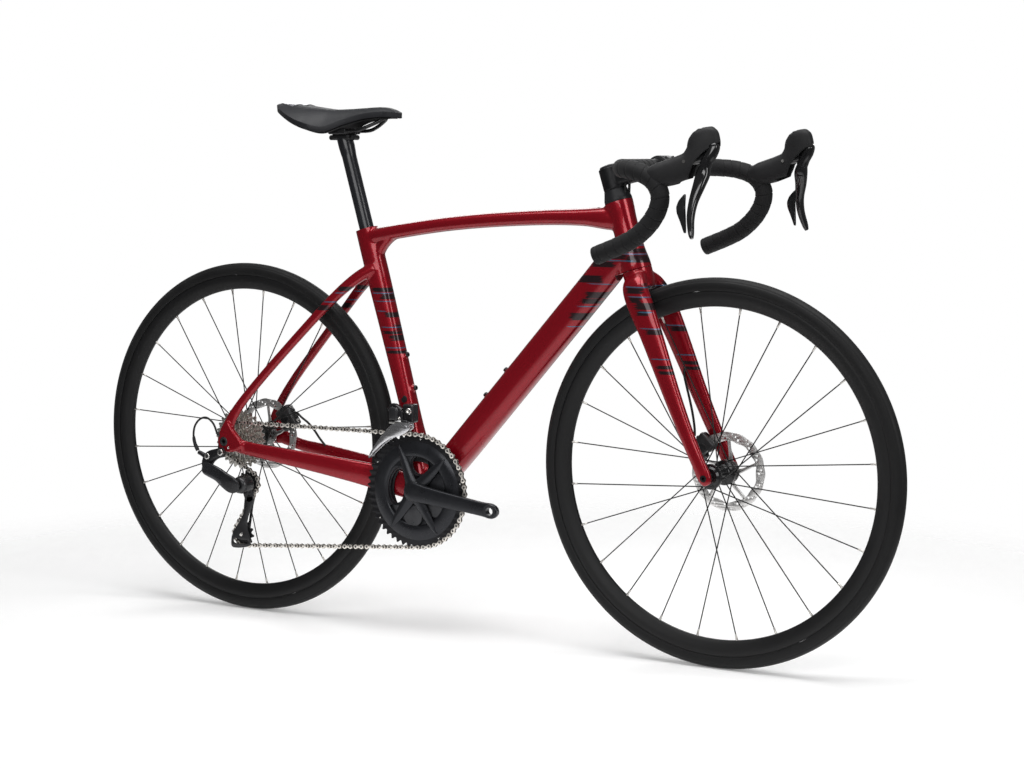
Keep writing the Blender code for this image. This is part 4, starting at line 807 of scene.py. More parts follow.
FORK_LEG = mm([(352, 0, 10, 20, 12), (338, 3, 29.5, 22.5, 14), (318, 7, 40, 23.5, 12), (290, 12, 44.5, 23, 10),
               (245, 18, 47.5, 20.5, 9.2), (190, 23.5, 50.2, 17.8, 8.6), (130, 29.5, 52.8, 15.2, 7.9),
               (65, 37.5, 55.2, 13, 7.2), (15, 45.5, 57, 12.2, 6.4), (-12, 49.5, 57, 12.5, 6.4),
               (-24, 50.8, 57, 9, 6), (-28.5, 51.2, 57, 4.5, 5)])
EASED = 0.0006
DROPOUT_INSIDE = 0.0708
DROPOUT_RIGHT = 0.0834
DROPOUT_LEFT = 0.0788
DROPOUT = mm([(-519.5, 330), (-520, 348), (-513, 365), (-499, 384), (-490.5, 374.5), (-480, 359), (-465, 344.5),
              (-460, 333), (-472, 322.5), (-495, 319.5), (-511, 320)])


def slimmer(rows):
    """The chainstay of the side without a chain: shallower, with its top edge lower."""
    body = [(x, y, z - 0.0035, 0.84 * depth, width) for x, y, z, depth, width in rows[:-3]]
    return body + rows[-3:]


def grown(rows):
    """Rows made a little fuller, by what the easing of the skin takes off."""
    return [(*row[:3], row[3] + EASED, row[4] + EASED) for row in rows]


def boss_places():
    """Where the bottle bolts sit, as (foot on the tube's axis, direction, reach)."""
    normal, along = Vector((-0.748, 0, 0.664)), Vector((0.664, 0, 0.748))
    for shift in (0.048, 0.112):
        yield Vector((0.0265, 0, 0.3969)) + along * shift, normal, 0.03
    front = Vector((math.sin(SEAT_ANGLE), 0, math.cos(SEAT_ANGLE)))
    for height in (0.187, 0.251):
        yield seat(height), front, 0.0205


def build_frame():
    back = Vector((-math.sin(SEAT_ANGLE), 0, -math.cos(SEAT_ANGLE)))
    seat_rows = [(*(seat(height) + back * shift), depth, width) for height, shift, depth, width in SEAT_TUBE]
    head = [(0.0268, HEAD_LOW - 0.004), (0.0264, HEAD_LOW + 0.012), (0.0234, HEAD_LOW + 0.038),
            (0.023, HEAD_HIGH - 0.04), (0.0247, HEAD_HIGH - 0.012), (0.0253, HEAD_HIGH + 0.004)]
    head = curve_through(head, 4)
    parts = [rod((BB_X, -BB_HALF - 0.003, BB_Z), (BB_X, BB_HALF + 0.003, BB_Z), BB_SHELL_R, 64),
             smooth(grown(DOWN_TUBE), 8, 64, 2.6),
             smooth(grown(seat_rows), 8, 64, 2.4),
             smooth(grown(TOP_TUBE), 8, 64, 2.6),
             solid(head, STEER_PLACE, 72),
             smooth(grown(GUSSET), 6, 32, 2.2)]
    for sign in (-1, 1):
        chainstay = slimmer(CHAINSTAY) if sign > 0 else CHAINSTAY
        parts.append(smooth(grown(mirrored(chainstay, sign)), 6, 40, 2.5))
        parts.append(smooth(grown(mirrored(SEATSTAY, sign)), 6, 40, 2.4))
        outside = DROPOUT_RIGHT if sign < 0 else DROPOUT_LEFT
        middle, half = sign * (DROPOUT_INSIDE + outside) / 2, (outside - DROPOUT_INSIDE) / 2
        parts.append(plate([rounded(DROPOUT, 0.25, 2)], middle, half, 0.001))
    for foot, way, reach in boss_places():
        parts.append(rod(foot, foot + way * (reach + 0.0004), 0.0058, 24))
    skin = moulded(parts, 0.0022, 6)
    tools = [rod((BB_X, -0.1, BB_Z), (BB_X, 0.1, BB_Z), BB_BORE_R, 48)]
    tools += [rod((BB_X, s * BB_HALF, BB_Z), (BB_X, s * 0.06, BB_Z), 0.03, 32) for s in (-1, 1)]
    bore = [(0.0245, HEAD_LOW - 0.01), (0.0245, HEAD_LOW + 0.0105), (0.0165, HEAD_LOW + 0.0105),
            (0.0165, HEAD_HIGH - 0.0105), (0.0212, HEAD_HIGH - 0.0105), (0.0212, HEAD_HIGH + 0.01)]
    tools.append(solid(bore, STEER_PLACE, 48))
    tools += [solid([(0.04, HEAD_LOW - 0.02), (0.04, HEAD_LOW)], STEER_PLACE, 32),
              solid([(0.04, HEAD_HIGH), (0.04, HEAD_HIGH + 0.02)], STEER_PLACE, 32),
              solid([(0.05, SEAT_TUBE_TOP), (0.05, SEAT_TUBE_TOP + 0.03)], SEAT_PLACE, 32),
              solid([(SEATPOST_R + GAP, POST_BORE_FOOT), (SEATPOST_R + GAP, 0.6)], SEAT_PLACE, 48)]
    tools += [rod((-AXLE_X, s * 0.06, WHEEL_R), (-AXLE_X, s * 0.09, WHEEL_R), AXLE_HOLE_R, 32) for s in (-1, 1)]
    tools.append(rod((-AXLE_X, -0.0822, WHEEL_R), (-AXLE_X, -0.09, WHEEL_R), 0.0092, 40))
    skin = cut(skin, *tools)
    show(skin, "frame_shell", "frame_assembly", "frame_paint", ("frame", "stays_left", "stays_right"), 50)
    heads = [bolt(place_along(foot + way * reach, way), 0.0048, 0.0036) for foot, way, reach in boss_places()]
    show(merged(heads), "bottle_bolts", "frame_assembly", "bolt_black")
    grommet = solid(dome(0.0066, 0.0014), place_along((-0.1318, -0.0172, 0.4372), (-0.1, -1, 0.1)), 32)
    show(grommet, "cable_grommet", "frame_assembly", "shell_plastic")
    ring = turned([(0.0046, 0.0), (0.009, 0.0), (0.009, 0.001), (0.008, 0.0016), (0.005, 0.0016)],
                  facing_right((-AXLE_X, -0.0823, WHEEL_R)), 40)
    show(ring, "axle_end_ring", "frame_assembly", "axle_black")
    screw = bolt(facing_right((-0.493, -0.083, 0.329)), 0.0028, 0.0014)
    show(screw, "hanger_screw", "frame_assembly", "steel")


def build_bearings():
    for name, low, outer in (("lower", HEAD_LOW + 0.0015, 0.0242), ("upper", HEAD_HIGH - 0.01, 0.0209)):
        profile = [(STEERER_R + GAP, low), (outer, low), (outer, low + 0.0085), (STEERER_R + GAP, low + 0.0085)]
        node = "headset_bearing_" + name
        show(turned(profile, STEER_PLACE, 64), node + "_ring", "frame_assembly", "steel", (node,))
    for sign, name in ((-1, "right"), (1, "left")):
        edge = sign * (BB_HALF + GAP)
        profile = [(0.0123, sign * 0.03), (0.0202, sign * 0.03), (0.0202, edge), (0.0222, edge),
                   (0.0222, edge + sign * 0.001), (0.0218, edge + sign * 0.0016), (0.0123, edge + sign * 0.0016)]
        node = "bottom_bracket_" + name
        show(turned(profile, about_y(*BB), 64), node + "_cup", "frame_assembly", "cover_plastic", (node,))


def build_fork():
    rows = [[(*steer(height, forward, sign * y), depth, width) for height, forward, y, depth, width in FORK_LEG]
            for sign in (-1, 1)]
    crown = [(0.024, 0.33), (0.0262, 0.345), (0.0266, HEAD_LOW + 0.003)]
    parts = [smooth(grown(leg), 8, 48, 2.5) for leg in rows]
    skin = moulded(parts + [solid(crown, STEER_PLACE)], 0.0018, 7)
    trim = solid([(0.05, HEAD_LOW - 0.0012), (0.05, HEAD_LOW + 0.02)], STEER_PLACE, 32)
    hole = rod((AXLE_X, -0.09, WHEEL_R), (AXLE_X, 0.09, WHEEL_R), AXLE_HOLE_R, 32)
    skin = cut(skin, trim, hole)
    column = [(STEERER_R, HEAD_LOW - 0.003), (STEERER_R, STEM_HIGH - 0.002)]
    column = solid(column, STEER_PLACE, 48)
    show(join(skin, column), "fork_shell", "steering", "frame_paint", ("fork",), 50)


# ---------------------------------------------------------------- cockpit


def stem_line():
    """The stem's root on the steering axis, its direction, and the middle of the bar clamp."""
    start = steer((STEM_LOW + STEM_HIGH) / 2)
    along = Vector((math.cos(STEM_RISE), 0, math.sin(STEM_RISE)))
    return start, along, start + along * STEM_LENGTH


def build_stem():
    start, along, clamp = stem_line()
    place = place_along(clamp, along)
    across = 0.0215
    hub = solid([(0.02, STEM_LOW), (0.0204, STEM_LOW + 0.001), (0.0204, STEM_HIGH - 0.001), (0.02, STEM_HIGH)],
                STEER_PLACE)
    rows = [(*(start + along * reach), depth, width)
            for reach, depth, width in ((0.006, 0.017, 0.017), (0.03, 0.015, 0.016),
                                        (0.07, 0.014, 0.018), (0.088, 0.015, 0.0205))]
    grip = rod(clamp + Vector((0, -across, 0)), clamp + Vector((0, across, 0)), 0.0212, 64)
    body = moulded([hub, smooth(rows, 6, 48, 2.8), grip], 0.0012, 4)
    bore = rod(clamp + Vector((0, -0.05, 0)), clamp + Vector((0, 0.05, 0)), BAR_CLAMP_R + GAP, 64)
    column = solid([(STEERER_R + GAP, STEM_LOW - 0.01), (STEERER_R + GAP, STEM_HIGH + 0.01)], STEER_PLACE, 48)
    front_half = box((-0.05, -0.05, -0.0005), (0.05, 0.05, 0.05), place)
    show(cut(body, bore, column, front_half), "stem_body", "steering", "bar_black", ("stem",), 45)
    profile = [(BAR_CLAMP_R + GAP, -across), (0.0204, -across), (0.0212, -across + 0.001),
               (0.0212, across - 0.001), (0.0204, across), (BAR_CLAMP_R + GAP, across)]
    ring = turned(profile, place_along(clamp, Y_AXIS), 72)
    window = box((-0.011, -0.0085, 0.0), (0.011, 0.0085, 0.05), place, 0.002, 2)
    cover = cut(ring, box((-0.05, -0.05, -0.05), (0.05, 0.05, 0.0005), place), window)
    show(cover, "stem_cover", "steering", "bar_black", ("stem_faceplate",), 45)
    screws = []
    for side in (-1, 1):
        for level in (-1, 1):
            spot = clamp + Vector((0, side * 0.015, 0)) + along * 0.0135 + along.cross(Y_AXIS) * level * 0.015
            screws.append(bolt(place_along(spot, along), 0.0034, 0.003))
    up = steer(1) - steer(0)
    for height in (-0.011, 0.011):
        spot = start + up * height + Vector((-0.0195, 0.01, -0.006))
        screws.append(bolt(place_along(spot, (-1, 0.25, -0.3)), 0.0034, 0.003))
    show(merged(screws), "stem_bolts", "steering", "bolt_black")
    profile = [(STEERER_R + GAP, HEAD_HIGH + 0.0006), (0.0246, HEAD_HIGH + 0.0006), (0.0249, HEAD_HIGH + 0.0014),
               (0.0246, HEAD_HIGH + 0.006), (0.0236, HEAD_HIGH + 0.0095), (0.0214, STEM_LOW - 0.0045),
               (0.0206, STEM_LOW - GAP), (STEERER_R + GAP, STEM_LOW - GAP)]
    cover = turned(profile, STEER_PLACE, 72)
    show(cover, "headset_top_cover", "steering", "cover_plastic", ("headset_cover",), 30)
    cap = solid([(0.0175, STEM_HIGH + GAP), (0.0178, STEM_HIGH + 0.0012), (0.0172, STEM_HIGH + 0.003),
                 (0.015, STEM_HIGH + 0.0042), (0.006, STEM_HIGH + 0.0045)], STEER_PLACE)
    show(cap, "stem_cap", "steering", "bar_black", ("top_cap",), 30)
    screw = bolt(place_along(steer(STEM_HIGH + 0.004), up), 0.0048, 0.002)
    show(screw, "stem_cap_bolt", "steering", "bolt_black")
    for name, y, reach in (("right", -0.0075, 0.034), ("left", 0.0075, 0.028)):
        top = clamp + Vector((-0.014, y * 1.6, -0.017))
        route = [top, top + Vector((-0.018, 0, -0.008)), steer(0.528, reach, y), steer(0.515, 0.0255, y),
                 steer(HEAD_HIGH + 0.006, 0.0185, y)]
        show(tube(route, 0.0024, 14, 6), "cockpit_hose_" + name, "steering", "hose_black")


BAR_PATH = mm([(392, 0, 867), (392, 30, 867), (392, 60, 867), (392, 100, 867), (392.5, 135, 867),
               (397.5, 163, 867.2), (412, 187, 866.8), (438, 201, 864), (464, 206.2, 856), (481, 208, 843.5),
               (490.5, 209, 825.5), (488.8, 209.5, 806), (479.5, 210, 787), (465, 210.5, 769.8),
               (444.5, 211, 753.5), (418, 211.5, 740.5), (389, 211.8, 729), (375.5, 212, 723.8)])
TAPE_WRAP = 0.0165


def bar_rows(steps):
    """Half of the bar, from the stem to the left end, as rows for sweep."""
    clamp = stem_line()[2]
    shift = Vector((clamp.x - BAR_PATH[0][0], 0, clamp.z - BAR_PATH[0][2]))
    rows = []
    for x, y, z in curve_through(BAR_PATH, steps):
        blend = min(1, max(0, (y - 0.032) / 0.026))
        radius = BAR_CLAMP_R + (BAR_R - BAR_CLAMP_R) * blend
        fade = 1 - min(1, y / 0.16)
        rows.append((x + shift.x * fade, y, z + shift.z * fade, radius, radius))
    return rows


def wrap_relief(length, turn):
    """Each turn of the tape laps over the one before it, with a soft raised edge."""
    phase = (length / TAPE_WRAP - turn) % 1.0
    edge = min(1.0, phase / 0.1) * min(1.0, (1 - phase) / 0.03)
    return 0.905 + 0.095 * edge * (0.72 + 0.28 * phase)


def build_bar():
    left = bar_rows(3)[1:]
    right = [(x, -y, z, a, b) for x, y, z, a, b in reversed(left)]
    bar = sweep(right + bar_rows(3)[:1] + left, 32, side=Z_AXIS)
    show(bar, "drop_bar", "steering", "bar_black", ("handlebar",))
    fine = [row for row in bar_rows(28) if row[1] >= 0.047]
    for sign, name in ((-1, "right"), (1, "left")):
        rows = [(x, sign * y, z, max(TAPE_R, r + 0.0018), max(TAPE_R, r + 0.0018)) for x, y, z, r, _ in fine]
        end = Vector(rows[-1][:3])
        out = (end - Vector(rows[-2][:3])).normalized()
        rows.append((*(end + out * 0.002), 0.96 * TAPE_R, 0.96 * TAPE_R))
        wound = sweep(rows, 48, side=Z_AXIS, swell=wrap_relief)
        show(wound, "wound_tape_" + name, "steering", "tape", ("bar_tape_" + name,), 60)
        plug = solid([(0.0135, 0), (0.0135, 0.0006), (0.012, 0.0012), (0.001, 0.0014)],
                     place_along(end + out * 0.0016, out), 40)
        show(plug, "bar_plug_" + name, "steering", "cover_plastic")


HOOD = mm([(462, 205.8, 856, 11, 12), (482, 205.2, 856, 19, 16.8), (504, 204, 860.5, 21.5, 16.8),
           (524, 202.5, 866.5, 22, 16), (543, 200.5, 874.5, 22.8, 15.5), (557, 198.5, 889.5, 25.5, 15.2),
           (563.5, 196.8, 907.5, 27.2, 14.5), (566.5, 195.5, 922.5, 22.2, 13), (566.8, 195, 931, 15, 10),
           (566.5, 195, 934, 7, 5.5)])
LEVER_ROOT = mm([(536.4, 200.5, 879, 8.5, 7), (552, 200.5, 883, 8.5, 7), (570, 200.5, 887, 7.8, 7)])
LEVER_HEAD = mm([(584.5, 197.8, 908.5, 4, 7), (583, 198, 904, 7.8, 9.6), (578.5, 199, 893, 9, 10.8),
                 (571.5, 200, 881, 8.8, 11.2), (567.2, 200.8, 871.5, 9.4, 10.8)])
BLADE = mm([(568, 200.6, 873.5, 8, 10), (564.5, 202.2, 859, 11.2, 9.8), (561.2, 210.5, 840, 9.8, 8.5),
            (555.6, 219.5, 813.5, 7.2, 7.4), (555, 227.5, 789, 6, 7), (559.8, 235.8, 765, 4.6, 6),
            (562.2, 238.4, 756, 2.6, 4)])
PADDLE = mm([(545, 829), (533, 816), (529, 806), (530, 796), (537.5, 779), (543, 764), (546, 764), (545, 790),
             (544, 806)])
LEVER_SLOT = mm([(524, 886), (533, 892), (548, 895), (570, 902), (598, 913), (615, 880), (590, 830), (520, 830),
                 (522, 870)])
LEVER_ROOM = mm([(542, 830), (542, 856), (548, 872), (558, 885), (570, 896), (580, 903), (620, 904), (620, 830)])
HOOD_CORNER = (0.5257, 0.8701)


def split_looks(shape, corner, looks):
    """Part a shape's faces at two lines in the side view: the wedge in front of the corner gets looks[1]."""
    lines = ((-0.556, 0.831), (0.68, 0.733))  # the normal of each
    bm = bmesh.new()
    bm.from_mesh(shape.data)
    point = Vector((corner[0], 0, corner[1]))
    for nx, nz in lines:
        everything = bm.verts[:] + bm.edges[:] + bm.faces[:]
        bmesh.ops.bisect_plane(bm, geom=everything, plane_co=point, plane_no=(nx, 0, nz))
    for face in bm.faces:
        away = face.calc_center_median() - point
        above, ahead = (away.x * nx + away.z * nz for nx, nz in lines)
        face.material_index = 1 if above < 0 < ahead else 0
    bm.to_mesh(shape.data)
    bm.free()
    shape.data.materials.clear()
    for look in looks:
        shape.data.materials.append(LOOKS[look])


def build_shifter(name, sign):
    y = sign * LEVER_PIVOT[1]
    hood = smooth(mirrored(HOOD, sign), 7, 48, 2.4)
    path = [(x, sign * yy, z) for x, yy, z, _, _ in bar_rows(3) if z > 0.8 and yy > 0.15]
    wrap = sweep([(*p, TAPE_R - 0.0006, TAPE_R - 0.0006) for p in path], 32, side=Z_AXIS)
    hood = cut(hood, wrap, plate([LEVER_SLOT], y, 0.0083), plate([LEVER_ROOM], y, 0.04))
    split_looks(hood, HOOD_CORNER, ("hood_rubber", "lever_gloss"))
    show(hood, "hood_" + name, "steering", None, ("shifter_" + name,), 40)
    arm = join(smooth(mirrored(LEVER_ROOT, sign), 5, 32, 2.4),
               smooth(mirrored(LEVER_HEAD, sign), 6, 40, 2.8))
    show(arm, "lever_arm_" + name, "lever_" + name, "lever_gloss", ("lever_root_" + name,))
    pin_half = Vector((0, 0.0168, 0))
    pivot = Vector((LEVER_PIVOT[0], y, LEVER_PIVOT[2]))
    pin = rod(pivot - pin_half, pivot + pin_half, 0.0028, 24)
    show(pin, "lever_pin_" + name, "steering", "steel")
    blade = smooth(mirrored(BLADE, sign), 8, 40, 2.8)
    show(blade, "lever_blade_" + name, "blade_" + name, "lever_gloss", ("brake_lever_" + name,))
    paddle = plate([rounded(PADDLE, 0.15, 2)], sign * PADDLE_Y, 0.003, 0.0012)
    show(paddle, "lever_paddle_" + name, "paddle_" + name, "lever_gloss", ("shift_paddle_" + name,), 60)


# ---------------------------------------------------------------- drivetrain


def pitch_radius(teeth):
    return PITCH / (2 * math.sin(math.pi / teeth))


def toothed(teeth, centre, start=0.0, worn=1.0):
    """Outline of a sprocket with rounded roots; a tooth stands at the angle start."""
    pitch_r = pitch_radius(teeth)
    step = 2 * math.pi / teeth
    shape = ((-0.5, -0.0037), (-0.4, -0.0034), (-0.31, -0.002), (-0.2, 0.0003), (-0.1, 0.0022),
             (0.0, 0.0028 * worn), (0.1, 0.0022), (0.2, 0.0003), (0.31, -0.002), (0.4, -0.0034))
    return [around(centre, pitch_r + rise, start + (k + share) * step)
            for k in range(teeth) for share, rise in shape]


class Belt:
    """The chain's line round circles of (x, z, radius, sense); sense +1 runs clockwise."""

    def __init__(self, circles):
        self.spans = []
        count = len(circles)
        lines = []
        for i in range(count):
            xi, zi, ri, si = circles[i]
            xj, zj, rj, sj = circles[(i + 1) % count]
            reach = math.hypot(xj - xi, zj - zi)
            heading = math.atan2(zj - zi, xj - xi) - math.asin((si * ri - sj * rj) / reach)
            normal = (-math.sin(heading), math.cos(heading))
            lines.append(((xi + si * ri * normal[0], zi + si * ri * normal[1]),
                          (xj + sj * rj * normal[0], zj + sj * rj * normal[1])))
        for i in range(count):
            x, z, r, sense = circles[i]
            enter, leave = lines[i - 1][1], lines[i][0]
            a0 = math.atan2(enter[1] - z, enter[0] - x)
            turn = (math.atan2(leave[1] - z, leave[0] - x) - a0) % (2 * math.pi)
            if sense > 0:
                turn -= 2 * math.pi
            self.spans.append(("arc", (x, z, r, a0, turn), abs(turn) * r))
            self.spans.append(("line", lines[i], math.dist(*lines[i])))
        self.length = sum(span[2] for span in self.spans)

    def point(self, distance):
        distance %= self.length
        for kind, data, length in self.spans:
            if distance <= length:
                share = distance / length
                if kind == "arc":
                    x, z, r, a0, turn = data
                    return around((x, z), r, a0 + turn * share)
                (x0, z0), (x1, z1) = data
                return x0 + (x1 - x0) * share, z0 + (z1 - z0) * share
            distance -= length
        return self.point(0)


def link_plate(y, half, narrow):
    """A chain plate from one pin to the next, with a waist, lying along local X."""
    outline = []
    for centre, side, waist in ((0.0, -1, (0.4, 0.5, 0.6)), (PITCH, 1, (0.6, 0.5, 0.4))):
        outline += [around((centre, 0), LINK_R, -side * math.pi / 2 + math.pi * (k / 10)) for k in range(11)]
        outline += [(PITCH * t, side * narrow) for t in waist]
    return plate([outline], y, half, 0.00018)


def build_chain():
    """Plates, rollers and pins along the chain's line; gives back the places of the pins."""
    belt = Belt([(*BB, pitch_radius(RING_TEETH), 1), (*TENSION, pitch_radius(PULLEY_TEETH), 1),
                 (*GUIDE, pitch_radius(PULLEY_TEETH), -1), (*REAR, pitch_radius(COG_TEETH), 1)])
    count = 2 * round(belt.length / PITCH / 2)
    step = belt.length / count
    pins = [belt.point(step * k) for k in range(count)]
    frames = []
    for k, (x, z) in enumerate(pins):
        ahead = pins[(k + 1) % count]
        turn = math.atan2(ahead[1] - z, ahead[0] - x)
        frames.append(Matrix.Translation((x, CHAIN_Y, z)) @ Matrix.Rotation(-turn, 4, "Y"))
    outer = merged([link_plate(side * OUTER_LINK_Y, 0.00045, 0.0019) for side in (-1, 1)])
    show(copies(outer, frames[0::2]), "chain_outer_plates", "frame_assembly", "chain_plate", ("chain",))
    inner = merged([link_plate(side * INNER_LINK_Y, 0.0004, 0.0027) for side in (-1, 1)])
    show(copies(inner, frames[1::2]), "chain_inner_plates", "frame_assembly", "chain_inner")
    roller = rod((0, -0.0012, 0), (0, 0.0012, 0), 0.0036, 16)
    show(copies(roller, frames), "chain_rollers", "frame_assembly", "chain_inner")
    # Pin heads in the black bolt finish: painted shade for the shadow in each pin's recess; the real pins are
    # steel.
    pin_head = rod((0, -0.0027, 0), (0, 0.0027, 0), 0.0021, 12)
    show(copies(pin_head, frames), "chain_pins_painted_shade", "frame_assembly", "bolt_black")
    return pins


def mesh_phase(pins, centre, teeth):
    """The angle at which a sprocket's tooth stands midway between two chain pins."""
    radius = pitch_radius(teeth)
    turns = [math.atan2(z - centre[1], x - centre[0]) for x, z in pins
             if abs(math.hypot(x - centre[0], z - centre[1]) - radius) < 0.0004]
    step = 2 * math.pi / teeth
    total = sum(complex(math.cos(t * teeth), math.sin(t * teeth)) for t in turns)
    return math.atan2(total.imag, total.real) / teeth + step / 2


def build_cassette(pins):
    first_y = CHAIN_Y - COGS.index(COG_TEETH) * COG_STEP
    phase = mesh_phase(pins, REAR, COG_TEETH)
    chance = random.Random(5)
    cogs = []
    for k, teeth in enumerate(COGS):
        radius = pitch_radius(teeth)
        hole = 0.0178 if k > 2 else 0.016
        start = phase if teeth == COG_TEETH else chance.random()
        outlines = [toothed(teeth, REAR, start, 0.7), circle(hole, 40, REAR)]
        if teeth > 20:
            ring_r = (radius - 0.0065 + hole + 0.004) / 2
            size = (radius - 0.0065 - hole - 0.004) / 2
            number = int(2 * math.pi * ring_r / (2.6 * size))
            for m in range(number):
                outlines.append(circle(size, 14, around(REAR, ring_r, 2 * math.pi * m / number + 0.3 * k)))
        cogs.append(plate(outlines, first_y + k * COG_STEP, 0.0009, 0.0002))
    show(merged(cogs), "cassette_cogs", "cassette_body", "cogs", ("cassette",), 30)
    last_y = first_y + (len(COGS) - 1) * COG_STEP
    core = [(0.0095, first_y - 0.001)]
    for k in range(len(COGS) - 1):
        y = first_y + k * COG_STEP
        radius = 0.018 if k > 2 else 0.0163
        core += [(radius, y + 0.001), (radius + 0.0012, y + 0.0014),
                 (radius + 0.0012, y + 0.0024), (radius, y + 0.0028)]
    core += [(0.018, last_y), (0.0095, last_y)]
    show(turned(core, about_y(*REAR), 48), "cassette_spacers", "cassette_body", "bolt_black")
    notched = ring_of(REAR, 48, lambda k: 0.0162 if k % 4 < 2 else 0.015)
    ring = plate([notched, circle(0.0112, 32, REAR)], first_y - 0.0014, 0.0006, 0.0002)
    show(ring, "cassette_lock_ring", "cassette_body", "steel")


def crank_rows(sign, direction):
    """Arm stations from the bottom bracket to the pedal eye."""
    shape = ((-0.012, 0.056, 0.015, 0.007), (0.0, 0.058, 0.0185, 0.0085),
             (0.03, 0.062, 0.016, 0.0075), (0.09, 0.065, 0.014, 0.0065),
             (0.15, 0.0665, 0.013, 0.006), (CRANK_LENGTH, 0.0668, 0.014, 0.006),
             (CRANK_LENGTH + 0.0085, 0.0668, 0.0118, 0.0058), (CRANK_LENGTH + 0.013, 0.0668, 0.008, 0.0054),
             (CRANK_LENGTH + 0.015, 0.0668, 0.0045, 0.0048))
    rows = [(BB_X + direction[0] * reach, sign * y, BB_Z + direction[1] * reach, depth, width)
            for reach, y, depth, width in shape]
    return curve_through(rows, 6)


def pedal_eye(direction, sign):
    """The boss at the end of an arm, and the hole through it."""
    x, z = BB_X + direction[0] * CRANK_LENGTH, BB_Z + direction[1] * CRANK_LENGTH
    boss = rod((x, sign * 0.0625, z), (x, sign * 0.0735, z), 0.0128, 48)
    return boss, rod((x, -0.1, z), (x, 0.1, z), 0.0071, 40)


def chainring(name, node, teeth, y, hole_r, phase):
    ring = plate([toothed(teeth, BB, phase), circle(hole_r, 96, BB)], y, 0.001, 0.0002)
    show(ring, name, "cranks", "ring_black", (node,), 30)


def build_cranks(pins):
    forward = (math.cos(CRANK_DROP), -math.sin(CRANK_DROP))
    backward = (-forward[0], -forward[1])
    arm = sweep(crank_rows(-1, forward), 32, 3.2)
    spindle = rod((BB_X, -0.06, BB_Z), (BB_X, 0.047, BB_Z), 0.012, 48)
    right_side, left_side = facing_right((BB_X, 0, BB_Z)), about_y(*BB)
    hub = solid([(0.0205, 0.0501), (0.0205, 0.059), (0.019, 0.0615), (0.015, 0.063), (0.002, 0.0632)],
                right_side)
    eye, hole = pedal_eye(forward, -1)
    right = join(arm, spindle, hub)
    for turn in (52, 120, -120, -52):
        angle = math.radians(turn) - CRANK_DROP
        way = (math.cos(angle), math.sin(angle))
        rows = [(BB_X + way[0] * reach, y, BB_Z + way[1] * reach, depth, width)
                for reach, y, depth, width in ((0.006, -0.0565, 0.015, 0.0058), (0.022, -0.0562, 0.012, 0.0052),
                                               (0.04, -0.055, 0.0098, 0.0046), (0.058, -0.0538, 0.0084, 0.004),
                                               (0.074, -0.053, 0.0056, 0.003), (0.09, -0.052, 0.001, 0.0012))]
        right = join(right, smooth(rows, 3, 20, 1.5))
    right = cut(join(right, eye), hole)
    show(right, "drive_arm", "cranks", "crank_grey", ("crank_arm_right",), 28)
    left = sweep(crank_rows(1, backward), 32, 3.2)
    boss = solid([(0.0185, 0.0475), (0.0185, 0.0625), (0.0165, 0.0645), (0.002, 0.065)], left_side)
    eye, hole = pedal_eye(backward, 1)
    show(cut(join(left, boss, eye), hole), "off_side_arm", "cranks", "crank_grey", ("crank_arm_left",), 28)
    cap = solid([(0.01, 0.064), (0.01, 0.0664), (0.008, 0.0672), (0.002, 0.0672)], left_side, 40)
    socket = solid([(0.0045, 0.0655), (0.0045, 0.08)], left_side, 8)
    show(cut(cap, socket), "crank_cap", "cranks", "bolt_black")
    phase = mesh_phase(pins, BB, RING_TEETH)
    chainring("big_ring_teeth", "chainring_outer", RING_TEETH, CHAIN_Y, 0.066, phase)
    chainring("small_ring_teeth", "chainring_inner", SMALL_RING_TEETH, SMALL_RING_Y, 0.054, 0.05)
    dish = mm([(63.5, 45.5), (64, 50), (65.5, 52), (69, 53.2), (76, 53.4), (83, 52.6), (88.5, 50.8), (92.5, 48.8),
               (93, 48.4), (70, 48), (65, 45)])
    show(turned(curve_closed(dish, 3), right_side, 128), "big_ring_face", "cranks", "crank_grey", (), 30)
    build_spider()
    pips = []
    for turn in (12, 84, 150, 215, 300):
        x, z = around(BB, 0.0975, math.radians(turn))
        pips.append(solid(dome(0.0016, 0.001), facing_right((x, -0.049, z)), 16))
    show(merged(pips), "ring_pins", "cranks", "steel")


def resized(outline, middle, across, up):
    """An outline scaled about its middle."""
    return [(middle[0] + (x - middle[0]) * across, middle[1] + (z - middle[1]) * up) for x, z in outline]


def build_spider():
    """The web between the arms and the rings, with a round-cornered window beside each arm."""
    windows = [circle(size, 40, around(BB, reach, math.radians(degrees))) for degrees, reach, size in
               ((80, 0.05, 0.0195), (-97, 0.047, 0.019), (20, 0.052, 0.0185), (-33, 0.05, 0.0175))]
    corners = [(132, 0.059), (150, 0.061), (171, 0.0615), (192, 0.061), (210, 0.059), (217, 0.047), (210, 0.033),
               (190, 0.026), (171, 0.0255), (152, 0.026), (132, 0.033), (125, 0.047)]
    large = [around(BB, reach, math.radians(degrees)) for degrees, reach in corners]
    windows.append(rounded(large, 0.25, 3))
    for y, half, grow in ((-0.0492, 0.0022, 1.0), (-0.0452, 0.0022, 0.9)):
        outlines = [circle(0.069, 96, BB)]
        for window in windows:
            middle = [sum(c) / len(window) for c in zip(*window)]
            outlines.append(resized(window, middle, grow, grow))
        outlines.append(circle(0.013, 40, BB))
        web = plate(outlines, y, half, 0.0008)
        show(web, "spider_web_%d" % round(-10000 * y), "cranks", "crank_grey", (), 30)


def curve_closed(points, steps):
    """A smooth closed outline through points."""
    looped = points[-2:] + points + points[:2]
    fine = curve_through(looped, steps)
    return [tuple(p) for p in fine[2 * steps:(2 + len(points)) * steps]]


